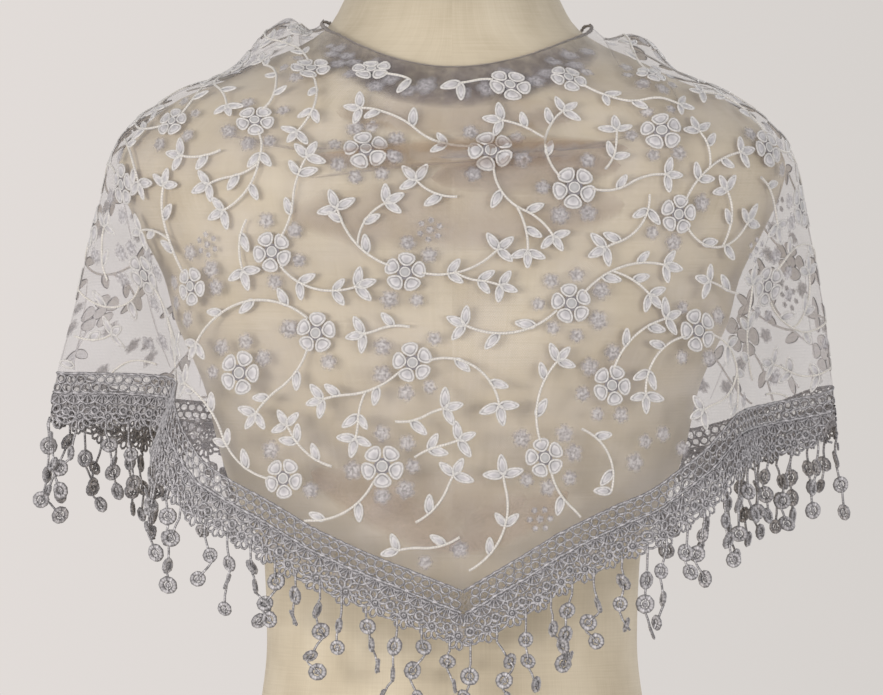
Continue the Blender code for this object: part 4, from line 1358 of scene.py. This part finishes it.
# The dark stops from 0.75 outward are painted shade in the gap round the white ring.
EYE_COLOURS = ((0.0, (0.42, 0.405, 0.40)), (0.45, (0.36, 0.345, 0.34)),
               (0.75, (0.17, 0.155, 0.16)), (1.0, (0.22, 0.20, 0.205)))
TUFT_COLOURS = ((0.36, (0.23, 0.21, 0.215)), (0.50, (0.37, 0.345, 0.35)), (0.64, (0.56, 0.53, 0.535)))
TUFT_SPECKLE, TUFT_RAGGED = 650.0, 0.9
TUFT_THIN_FROM, TUFT_THICK_FROM, TUFT_COVER = 1.55, 0.95, 0.76


def satin_fill_material():
    """The insides of the petals and leaves: painted shade in the groove inside the outline, then a
    paler heart that darkens to the eye or the foot."""
    material, tree, shader = new_material("satin stitch insides")
    parts = parts_of(tree, on_cloth_map(tree))
    speckle = noise(tree, in_space(tree), SATIN_SPECKLE, 2.0)
    out = plus(tree, parts["X"], times(tree, minus(tree, speckle, 0.5), SATIN_UNEVEN))
    foot = remap(tree, parts["Y"], SATIN_FOOT, SATIN_OPEN, SATIN_FOOT_SHADE, 1.0)
    stitches = math_node(tree, "SINE", times(tree, parts["Y"], 2 * math.pi * SATIN_STITCHES))
    wire(tree, shader, Base_Color=darkened(tree, colour_ramp(tree, out, SATIN_COLOURS), foot),
         Roughness=0.5, Sheen_Weight=0.3, Normal=bump(tree, stitches, 0.3, 0.0001))
    return material


def eye_material():
    """The middle of a flower: a grey heart, and painted shade in a dark ring round its white one."""
    material, tree, shader = new_material("grey eye stitches with a ring of painted shade")
    out = parts_of(tree, on_cloth_map(tree))["X"]
    wire(tree, shader, Base_Color=colour_ramp(tree, out, EYE_COLOURS), Roughness=0.7)
    return material


def tuft_material():
    """Loose loops of lilac grey thread, thin and ragged at their rim."""
    material, tree, shader = new_material("lilac grey tufts")
    out = parts_of(tree, on_cloth_map(tree))["X"]
    speckle = noise(tree, in_space(tree), TUFT_SPECKLE, 3.0)
    ragged = plus(tree, out, times(tree, speckle, TUFT_RAGGED))
    wire(tree, shader, Alpha=remap(tree, ragged, TUFT_THIN_FROM, TUFT_THICK_FROM, 0.0, TUFT_COVER),
         Base_Color=colour_ramp(tree, speckle, TUFT_COLOURS), Roughness=0.7, Sheen_Weight=0.3,
         Normal=bump(tree, speckle, 0.4, 0.0004))
    return material


tuft_thread = tuft_material()
tufts_on_turn_in = turn_in_tufts.piece("tufts_on_turned_edge", tuft_thread, "embroidered_net")
embroidery = (
    petal_lines.piece("petal_and_leaf_outlines", thread_material(
        "white satin stitch", (0.42, 0.395, 0.375), (0.73, 0.695, 0.66), pitch=0.42, roughness=0.42),
        "embroidered_net"),
    petal_fills.piece("petal_and_leaf_insides", satin_fill_material(), "embroidered_net"),
    eyes.piece("flower_eyes", eye_material(), "embroidered_net"),
    stem_lines.piece("stems", thread_material(
        "cream stem stitch", (0.48, 0.445, 0.40), (0.69, 0.645, 0.585), pitch=1.6, slant=1.0),
        "embroidered_net"),
    tuft_fills.piece("lilac_tufts", tuft_thread, "embroidered_net"),
    # The bobbin thread's near-white colour is painted light, made lighter to offset the shade it lies in
    # inside the net.
    backing.piece("bobbin_thread_inside", thread_material(
        "bobbin thread with painted light", (0.84, 0.82, 0.85), (0.96, 0.94, 0.97), pitch=0.6, slant=0.5, roughness=0.7),
        "embroidered_net"),
)


# ================================================================ The lace bands
# A stiff guipure band is sewn under each hem leg: a close heading, rows of open crochet loops, fans
# of fat stitches, then wheels that make a scalloped edge. Loops between the wheels carry the fringe.
BAND_WIDTH, BAND_ROWS = 35.0, 14
HEM_LEAN, HEM_SLOPE_ROWS, SEAM_GAP = 0.6, 6, 0.1
LEAST_HANG_ANGLE_SINE = 0.85
TUCK_LEAN_LEFT, TUCK_LEAN_RIGHT = -0.4, -0.15
TUCK_LEAN_DEG, TUCK_LEAN_REACH_DEG, TUCK_ZONE = 54.0, 14.0, 1.7
lace_rng = np.random.default_rng(7)


def hem_stretch(first_deg, last_deg):
    """The last row of the net between two turns, the way its band hangs, and where the tuck is."""
    degrees = np.degrees(turns)
    inside = (degrees > first_deg - 0.01) & (degrees < last_deg + 0.01)
    edge = net_cloth.points[inside, -1]
    slope = unit(edge - net_cloth.points[inside, -HEM_SLOPE_ROWS])
    from_tuck = (np.abs(degrees[inside]) - TUCK_LEAN_DEG) / TUCK_LEAN_REACH_DEG
    lean = np.where(degrees[inside] < 0, TUCK_LEAN_LEFT, -TUCK_LEAN_RIGHT) * np.exp(-from_tuck ** 2)
    hang = slope * HEM_LEAN + np.array([0.0, 0.0, -1.0]) * (1.0 - HEM_LEAN)
    hang = unit(hang + lean[:, None] * np.array([1.0, 0.0, 0.0]))
    return edge, hang, np.flatnonzero(np.abs(from_tuck) < TUCK_ZONE)


def drape_band(first_deg, last_deg):
    edge, hang, by_tuck = hem_stretch(first_deg, last_deg)
    along = unit(np.gradient(edge, axis=0))
    share = np.sum(hang * along, axis=-1)
    sine = np.sqrt(np.maximum(1.0 - share ** 2, 0.0))
    reach = BAND_WIDTH / np.maximum(sine, LEAST_HANG_ANGLE_SINE)
    steps = np.linspace(0.0, 1.0, BAND_ROWS)
    points = (edge + hang * SEAM_GAP)[:, None] + (hang * reach[:, None])[:, None] * steps[None, :, None]
    across = run_lengths(edge)[:, None] + (share * reach)[:, None] * steps
    if len(by_tuck):
        first, last = by_tuck[0], by_tuck[-1]
        row_runs = run_lengths(points[first:last + 1])
        across[first:last + 1] = across[first] + (across[last] - across[first]) * row_runs / row_runs[-1]
    down = np.broadcast_to(BAND_WIDTH * steps, across.shape)
    return Cloth(points, np.stack([across, down], axis=-1))


def lace_ground_group():
    """A crochet ground: rounded cells of many sizes with thread between them, and a mottled tone."""
    tree, start, end = new_group(
        "crochet ground",
        (("Flat", "NodeSocketVector"), ("Cell", "NodeSocketFloat", 2.2)),
        (("Thread", "NodeSocketFloat"), ("Tone", "NodeSocketFloat")),
    )
    flat = start.outputs["Flat"]
    scale = math_node(tree, "DIVIDE", 1.0, start.outputs["Cell"])
    cells = add(tree, "ShaderNodeTexVoronoi", (("feature", "DISTANCE_TO_EDGE"),), Vector=flat, Scale=scale)
    wire(tree, end, Thread=remap(tree, cells.outputs[0], 0.24, 0.12), Tone=noise(tree, flat, 0.5, 4.0))
    return tree


lace_ground = lace_ground_group()

# The chart of the lace, in mm: a repeat's width, and depths below the seam.
LACE_REPEAT, LACE_CORD = 17.0, 0.8
GROUND_CELL = 2.3
GROUND_SHOWN = ((0.0, 1.0), (0.05, 0.95), (0.07, 0.40), (0.32, 0.40), (0.37, 0.9), (0.60, 0.7), (1.0, 0.6))
GROUND_COLOURS = ((0.35, (0.15, 0.135, 0.135)), (0.65, (0.34, 0.315, 0.315)))
SCALLOP_RISE, SCALLOP_FROM, SCALLOP_TO = 3.0, 23.0, 27.0
HEADING_DEPTH, LOOP_ROW_DEPTHS, RIDGE_DEPTH, FAN_DEPTH = 0.8, (4.1, 8.9), 12.2, 12.8
LOOPS_IN_ROW, LOOP_HALF_HEIGHT, LOOP_WANDER = 3, 2.3, 0.45
LOOP_WIDTHS, LOOP_HEIGHTS = (0.88, 1.06), (0.85, 1.15)
FAN_REACH, FAN_STITCHES, FAN_FROM_DEG, FAN_TO_DEG = 5.2, 5, 15, 165
WHEEL_DEPTH, WHEEL_REACH, WHEEL_LOOPS, WHEEL_KNOT, WHEEL_LOOP_HALF = 25.6, 7.7, 9, 2.6, 1.75
WHEEL_SIZES, RING_DEPTH = (0.94, 1.05), 22.6
FAN_WANDER, CHART_WANDER = 0.5, 0.6
ROPE_SIZES, ROPE_WANDER = (0.82, 1.2), 0.3
SMALL_RING_COLUMNS = ("radius", "last_deg", "step", "thick", "lift")
WHEEL_KNOT_ROPES = ((0.9, 300, 0.9, 1.0, 0.35), (2.3, 330, 1.3, 0.85, 0.1))
RING_ROPES = ((2.2, 330, 1.3, 1.2, 0.3), (0.5, 300, 0.6, 0.9, 0.3))
ARCH_COLUMNS = ("below", "radius", "first_deg", "last_deg", "amount", "thick", "lift")
FAN_ARCH = (0.0, FAN_REACH + 0.6, 5, 175, 0.25, 0.85, 0.35)
RING_ARCHES = ((0.0, 4.3, 25, 155, 0.25, 0.9, 0.0), (1.8, 5.6, 15, 165, 0.3, 0.95, 0.15))


def lace_ground_material():
    """The ground shows at the heading, less behind the open loops, and ends in scallops."""
    material, tree, shader = new_material("crochet ground of the band")
    flat = on_cloth_map(tree)
    ground = add(tree, "ShaderNodeGroup", (("node_tree", lace_ground),), Flat=flat, Cell=GROUND_CELL).outputs
    parts = parts_of(tree, flat)
    where = colour_ramp(tree, remap(tree, parts["Y"], 0.0, BAND_WIDTH), GROUND_SHOWN)
    wave = math_node(tree, "COSINE", times(tree, parts["X"], 2 * math.pi / LACE_REPEAT))
    depth = minus(tree, parts["Y"], times(tree, wave, SCALLOP_RISE))
    scallop = remap(tree, depth, SCALLOP_FROM, SCALLOP_TO, 1.0, 0.0)
    wire(tree, shader, Alpha=times(tree, ground["Thread"], times(tree, where, scallop)),
         Base_Color=colour_ramp(tree, ground["Tone"], GROUND_COLOURS), Roughness=0.6,
         Normal=bump(tree, ground["Thread"], 0.6, 0.0004))
    return material


def uneven(path, amount):
    return path + lace_rng.uniform(-amount, amount, path.shape)


def arc(centre, radius, first_deg, last_deg, step=1.5):
    """Part of a circle on the flat band, where 90 degrees points down."""
    count = max(int(abs(math.radians(last_deg - first_deg)) * radius / step), 4) + 1
    t = np.radians(np.linspace(first_deg, last_deg, count))
    return np.stack([centre[0] + radius * np.cos(t), centre[1] + radius * np.sin(t)], axis=-1)


def rope(band, path, thick=1.0, lift=0.0, closed=False):
    """One cord of the lace, a little thicker or thinner than the next."""
    band.thread(path, LACE_CORD * thick * lace_rng.uniform(*ROPE_SIZES), lift=lift, closed=closed)


def small_ring(band, centre, radius, last_deg, step, thick, lift):
    rope(band, arc(centre, radius, 0, last_deg, step), thick, lift, True)


def arch(band, centre, below, radius, first_deg, last_deg, amount, thick, lift):
    rope(band, uneven(arc(centre + (0.0, below), radius, first_deg, last_deg), amount), thick, lift)


def straight_row(band, first, last, depth, thick, step=1.5):
    x = np.arange(first, last + step, step)
    rope(band, uneven(np.stack([x, np.full(len(x), depth)], axis=-1), ROPE_WANDER), thick, lift=0.15)


def open_loops(band, first, depth):
    """A row of rounded crochet loops side by side."""
    size = LACE_REPEAT / LOOPS_IN_ROW
    for k in range(LOOPS_IN_ROW):
        centre = uneven(np.array([first + (k + 0.5) * size, depth]), LOOP_WANDER)
        half_size = (size / 2 * lace_rng.uniform(*LOOP_WIDTHS),
                     LOOP_HALF_HEIGHT * lace_rng.uniform(*LOOP_HEIGHTS))
        loop = uneven(circle(1.0, 9) * half_size + centre, ROPE_WANDER)
        rope(band, loop, thick=0.72, lift=0.1, closed=True)


def fan(band, centre):
    """Fat stitches that spread from one point, closed by an arch."""
    for angle in np.radians(np.linspace(FAN_FROM_DEG, FAN_TO_DEG, FAN_STITCHES)):
        line = [centre + towards(angle) * FAN_REACH * share for share in (0.2, 0.6, 1.0)]
        rope(band, line, thick=1.05, lift=0.2)
    arch(band, centre, **named(FAN_ARCH, ARCH_COLUMNS))


def wheel(band, centre, reach):
    """Long petal loops round a knot of two small rings."""
    for row in WHEEL_KNOT_ROPES:
        small_ring(band, centre, **named(row, SMALL_RING_COLUMNS))
    spin = lace_rng.uniform(0.0, 1.0)
    long_half = (reach - WHEEL_KNOT) / 2
    for k in range(WHEEL_LOOPS):
        t = (k + spin) * 2 * math.pi / WHEEL_LOOPS
        loop = circle(1.0, 8) * (long_half, WHEEL_LOOP_HALF)
        place = centre + (WHEEL_KNOT + long_half) * towards(t)
        rope(band, turned(loop, t, place), thick=0.95, lift=0.4, closed=True)


def work_repeat(band, middle):
    """One repeat of the lace on the flat band, from its heading to its scallop."""
    half = LACE_REPEAT / 2
    first, last = middle - half, middle + half
    straight_row(band, first, last, HEADING_DEPTH, thick=0.85)
    for k, depth in enumerate(LOOP_ROW_DEPTHS):
        open_loops(band, first + k * LACE_REPEAT / (2 * LOOPS_IN_ROW), depth)
    straight_row(band, first, last, RIDGE_DEPTH, thick=1.15)
    for side in (-1, 1):
        fan(band, uneven(np.array([middle + side * half / 2, FAN_DEPTH]), FAN_WANDER))
    centre = uneven(np.array([middle, WHEEL_DEPTH]), CHART_WANDER)
    wheel(band, centre, WHEEL_REACH * lace_rng.uniform(*WHEEL_SIZES))
    ring = uneven(np.array([last, RING_DEPTH]), CHART_WANDER)
    for row in RING_ROPES:
        small_ring(band, ring, **named(row, SMALL_RING_COLUMNS))
    for row in RING_ARCHES:
        arch(band, ring, **named(row, ARCH_COLUMNS))


def build_band(name, first_deg, last_deg):
    """One stretch of band: its ground, and its cords in one mesh on it."""
    cloth = drape_band(first_deg, last_deg)
    ground = new_piece(f"lace_ground_{name}", cloth.points.reshape(-1, 3), cloth.faces, ground_material,
                       cloth.flat.reshape(-1, 2), "lace_thread")
    cords = Threads(cloth, CORD)
    across = cloth.flat[..., 0]
    low, high = round(across.min() / LACE_REPEAT), round(across.max() / LACE_REPEAT)
    for k in range(low, high + 1):
        work_repeat(cords, k * LACE_REPEAT)
    cord_piece = cords.piece(f"lace_cords_{name}", lace_cord_material, "lace_thread")
    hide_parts(f"lace_{name}")
    return cloth, ground, cord_piece


ground_material = lace_ground_material()
# sides=1.0 paints shade on the flanks of each lace cord.
lace_cord_material = thread_material(
    "guipure cord with painted side shade", (0.14, 0.13, 0.134), (0.74, 0.705, 0.715),
    pitch=1.1, slant=0.8, roughness=0.6, ridges=0.06, mottle=0.3, sides=1.0)
bands = {stretch[0]: build_band(*stretch) for stretch in STRETCHES_DEG}


# ================================================================ The fringe
# Cords hang from the loops of the band, each with a few crocheted rosettes threaded on it. They
# twist as they like, so some rosettes face out and some show their edge.
FRINGE_LENGTH, FRINGE_SHARES = 46.0, (0.5, 1.0)
FRINGE_PITCH, PITCH_SHARES, FIRST_STRANDS = 15.5, (0.7, 1.25), (2.0, 6.0)
FRINGE_ROOT_ROWS, ROOT_OUT, KNEE_OUT = 4, 0.6, 1.2
STRAND_HALF_WIDTH, STRAND_WANDER = 0.7, 0.9
FIRST_LEAN, NEXT_LEAN, LEAN_BACK, MOST_LEAN, OUTWARD_LEAN = 0.28, 0.45, -0.5, 0.95, 0.08
FIRST_GAPS, NEXT_GAPS, LEAST_REST = (0.5, 10.0), (3.0, 10.0), 5.0
FACING_SHARE, FACING_TWIST, EDGE_ON_TWISTS, TILT = 0.65, 0.45, (1.0, 1.8), 0.35
ROSETTE_RADIUS, ROSETTE_ROPE, ROSETTE_SIZES = 3.55, 1.4, (0.88, 1.12)
ROSETTE_MIDDLE, ROSETTE_WIDTH = 3.6, 7.4
ROSETTE_SIDES, ROSETTE_ROPE_SIDES, ROSETTE_KNOTS = 18, 6, 0.07
ROPE_UNEVEN, ROPE_FLATNESS = 0.08, 0.75
HUB_RADIUS, HUB_ROPE, HUB_SIDES, HUB_ROPE_SIDES = 1.05, 0.62, 8, 4
LINKS, LINK_START, LINK_FOOT, LINK_END, LINK_HALF_WIDTH = 3, 0.4, 1.3, 0.6, 0.32
fringe_rng = np.random.default_rng(23)


def frame_across(axis):
    """Two directions square to an axis."""
    spare = np.array([0.0, 0.0, 1.0]) if abs(axis[2]) < 0.9 else np.array([1.0, 0.0, 0.0])
    first = unit(np.cross(axis, spare))
    return first, np.cross(axis, first)


def crocheted_ring(heap, centre, axis, radius, rope_width, sides, rope_sides, knots):
    """A rope ring with knots round it. Its flat coordinates run round the ring and round the rope."""
    first, second = frame_across(axis)
    points, flat = [], []
    for i in range(sides):
        t = i * 2 * math.pi / sides
        out = first * math.cos(t) + second * math.sin(t)
        wander = fringe_rng.uniform(-ROPE_UNEVEN, ROPE_UNEVEN)
        fat = rope_width * (1.0 + knots * math.cos(i * math.pi) + wander)
        for j in range(rope_sides):
            u = j * 2 * math.pi / rope_sides
            up = fat * ROPE_FLATNESS * math.sin(u)
            points.append(centre + out * (radius + fat * math.cos(u)) + axis * up)
            flat.append((t * radius, j / rope_sides))
    faces = [(a, d, c, b) for a, b, c, d in grid_faces(sides, rope_sides, True, True)]
    heap.put(np.array(points), faces, np.array(flat))


def rosette(heap, centre, axis, size):
    """A thick crocheted ring, a small one in its middle, and links between them."""
    radius, rope_width = ROSETTE_RADIUS * size, ROSETTE_ROPE * size
    crocheted_ring(heap, centre, axis, radius, rope_width, ROSETTE_SIDES, ROSETTE_ROPE_SIDES, ROSETTE_KNOTS)
    crocheted_ring(heap, centre, axis, HUB_RADIUS * size, HUB_ROPE * size, HUB_SIDES, HUB_ROPE_SIDES, 0.0)
    first, second = frame_across(axis)
    for k in range(LINKS):
        t = k * 2 * math.pi / LINKS + LINK_START
        out = first * math.cos(t) + second * math.sin(t)
        ends = (centre + out * LINK_FOOT * size, centre + out * (radius - rope_width * LINK_END))
        cord(heap, np.array(ends), LINK_HALF_WIDTH)


def cord(heap, path, half_width, sides=4):
    along = unit(np.gradient(path, axis=0))
    first = unit(np.cross(along, np.array([0.3, 1.0, 0.2])))
    second = np.cross(along, first)
    t = np.arange(sides) * 2 * math.pi / sides
    ring = (path[:, None] + half_width * (first[:, None] * np.cos(t)[None, :, None]
                                          + second[:, None] * np.sin(t)[None, :, None]))
    flat = np.stack([np.repeat(run_lengths(path), sides), np.tile(t / A_TURN, len(path))], axis=-1)
    heap.put(ring.reshape(-1, 3), grid_faces(len(path), sides, round_rows=True), flat)


def strand(heap, root, top, outward):
    """One cord with its rosettes. It turns a little at each rosette, as a twisted cord does."""
    beside = unit(np.cross(outward, (0.0, 0.0, 1.0)))
    down = np.array([0.0, 0.0, -1.0])
    path, hung = [root + outward * ROOT_OUT, (root + top) / 2 + outward * KNEE_OUT, top], []
    length = fringe_rng.uniform(*FRINGE_SHARES) * FRINGE_LENGTH
    lean = fringe_rng.normal(0.0, FIRST_LEAN)
    while top[2] - path[-1][2] < length - LEAST_REST:
        gap = fringe_rng.uniform(*(NEXT_GAPS if hung else FIRST_GAPS))
        way = unit(down + beside * lean + outward * fringe_rng.normal(0.0, OUTWARD_LEAN))
        for _ in range(2):
            path.append(path[-1] + way * gap / 2 + beside * fringe_rng.uniform(-STRAND_WANDER, STRAND_WANDER))
        hung.append(path[-1] + way * ROSETTE_MIDDLE)
        path.append(path[-1] + way * ROSETTE_WIDTH)
        lean = float(np.clip(LEAN_BACK * lean + fringe_rng.normal(0.0, NEXT_LEAN), -MOST_LEAN, MOST_LEAN))
    cord(heap, np.array(path), STRAND_HALF_WIDTH)
    for centre in hung:
        facing = fringe_rng.random() < FACING_SHARE
        twist = fringe_rng.normal(0.0, FACING_TWIST) if facing else fringe_rng.uniform(*EDGE_ON_TWISTS)
        tilt = fringe_rng.normal(0.0, TILT)
        axis = unit(outward * math.cos(twist) + beside * math.sin(twist) - down * math.sin(tilt))
        rosette(heap, centre, axis, fringe_rng.uniform(*ROSETTE_SIZES))


def build_fringe(name):
    cloth = bands[name][0]
    edge, roots = cloth.points[:, -1], cloth.points[:, -FRINGE_ROOT_ROWS]
    outward = unit(cloth.normals[:, -1] * (1.0, 1.0, 0.0))
    run = run_lengths(edge)
    heap = Heap()
    at = fringe_rng.uniform(*FIRST_STRANDS)
    while at < run[-1] - 1.0:
        root, top, out = (points_at(at, run, line) for line in (roots, edge, outward))
        strand(heap, root, top, unit(out))
        at += FRINGE_PITCH * fringe_rng.uniform(*PITCH_SHARES)
    piece = heap.piece(f"rosette_fringe_{name}", rosette_material, "rosette_thread")
    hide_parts(f"fringe_{name}")
    return piece


# sides=1.0 paints shade on the flanks of each rosette cord.
rosette_material = thread_material(
    "rosette cord with painted side shade", (0.14, 0.13, 0.132), (0.72, 0.685, 0.69),
    pitch=1.6, slant=0.7, roughness=0.6, ridges=0.1, mottle=0.35, sides=1.0)
fringes = {name: build_fringe(name) for name in bands}

# The net with its turned edge and embroidery is a wide low triangle, and each stretch of hem has a
# straight band with its cords and fringe. The loop below works out each band's length along its
# seam, in metres, and nothing uses it.
for name, (cloth, ground, cords) in bands.items():
    length = float(run_lengths(cloth.points[:, 0])[-1]) * MM


# ================================================================ The studio
# A round pale floor in a pale room, one large soft lamp to the left of the camera, a weaker one to
# its right and a weak one behind.
FLOOR_RADIUS, FLOOR_SIDES = 1.6, 96
FLOOR_COLOURS = ((0.3, (0.72, 0.70, 0.69)), (0.7, (0.75, 0.73, 0.72)))
LAMP_COLUMNS = ("name", "place", "target", "size", "watts", "colour")
LAMPS = (
    ("key_lamp", (-2.1, -2.65, 0.48), (0.0, 0.0, 0.42), (1.8, 0.8), 60.0, (1.0, 0.985, 0.965)),
    ("fill_lamp", (1.8, -2.75, 0.45), (0.0, 0.0, 0.42), (1.8, 0.8), 31.0, (0.98, 0.99, 1.0)),
    ("back_lamp", (0.9, 2.6, 1.5), (0.0, 0.0, 0.40), (1.6, 1.6), 16.0, (1.0, 1.0, 1.0)),
)
ROOM_LIGHT, ROOM_BLEND = 0.84, 0.08
ROOM_LEFT, ROOM_RIGHT = (0.765, 0.72, 0.695), (0.665, 0.635, 0.61)
ROOM_GLOW = ((0.0, (0.98, 0.98, 1.0)), (0.35, (0.84, 0.84, 0.86)), (1.0, (0.58, 0.58, 0.59)))


def floor_material():
    material, tree, shader = new_material("pale floor")
    grain = noise(tree, in_space(tree), 1.2, 2.0)
    wire(tree, shader, Base_Color=colour_ramp(tree, grain, FLOOR_COLOURS), Roughness=0.9)
    return material


def build_floor():
    bm = bmesh.new()
    bmesh.ops.create_circle(bm, cap_ends=True, radius=FLOOR_RADIUS, segments=FLOOR_SIDES)
    mesh = bpy.data.meshes.new("floor")
    bm.to_mesh(mesh)
    bm.free()
    mesh.materials.append(floor_material())
    floor = bpy.data.objects.new("floor", mesh)
    bpy.context.scene.collection.objects.link(floor)


def soft_lamp(name, place, target, size, watts, colour):
    lamp = bpy.data.lights.new(name, "AREA")
    lamp.shape, lamp.size, lamp.size_y = "RECTANGLE", size[0], size[1]
    lamp.energy, lamp.color = watts, colour
    thing = bpy.data.objects.new(name, lamp)
    thing.location = place
    way = np.array(target) - np.array(place)
    yaw, pitch = math.atan2(way[1], way[0]), math.atan2(way[2], math.hypot(way[0], way[1]))
    thing.rotation_euler = (math.pi / 2 + pitch, 0.0, yaw - math.pi / 2)
    bpy.context.scene.collection.objects.link(thing)


def build_room():
    """An even pale room that lights the scene. The camera sees its wall with painted light, a little brighter
    on the left.
    """
    world = bpy.data.worlds.new("pale room")
    world.use_nodes = True
    tree = world.node_tree
    tree.nodes.clear()
    way = parts_of(tree, add(tree, "ShaderNodeTexCoord").outputs["Generated"])
    share = remap(tree, way["X"], -ROOM_BLEND, ROOM_BLEND)
    wall = colour_ramp(tree, share, ((0.0, ROOM_LEFT), (1.0, ROOM_RIGHT)))
    seen = add(tree, "ShaderNodeBackground", Color=wall)
    glow = colour_ramp(tree, way["Z"], ROOM_GLOW)
    light = add(tree, "ShaderNodeBackground", Color=glow, Strength=ROOM_LIGHT)
    is_seen = add(tree, "ShaderNodeLightPath").outputs["Is Camera Ray"]
    both = add(tree, "ShaderNodeMixShader", i0=is_seen, i1=light.outputs[0], i2=seen.outputs[0])
    add(tree, "ShaderNodeOutputWorld", Surface=both.outputs[0])
    bpy.context.scene.world = world


build_floor()
for row in LAMPS:
    soft_lamp(**named(row, LAMP_COLUMNS))
build_room()
bpy.context.scene.view_settings.view_transform = "Standard"

# The camera stands level, far back, square to the front of the veil.
CAMERA_DISTANCE, CAMERA_X, CAMERA_Z = 4.0, -0.0061, 0.3858
PICTURE_WIDTH, SENSOR_WIDTH = 0.5134, 36.0
camera_data = bpy.data.cameras.new("camera")
camera_data.sensor_width = SENSOR_WIDTH
camera_data.lens = SENSOR_WIDTH * CAMERA_DISTANCE / PICTURE_WIDTH
camera_data.clip_end = 50.0
camera = bpy.data.objects.new("camera", camera_data)
camera.location = (CAMERA_X, -CAMERA_DISTANCE, CAMERA_Z)
camera.rotation_euler = (math.pi / 2, 0.0, 0.0)
bpy.context.scene.collection.objects.link(camera)
bpy.context.scene.camera = camera
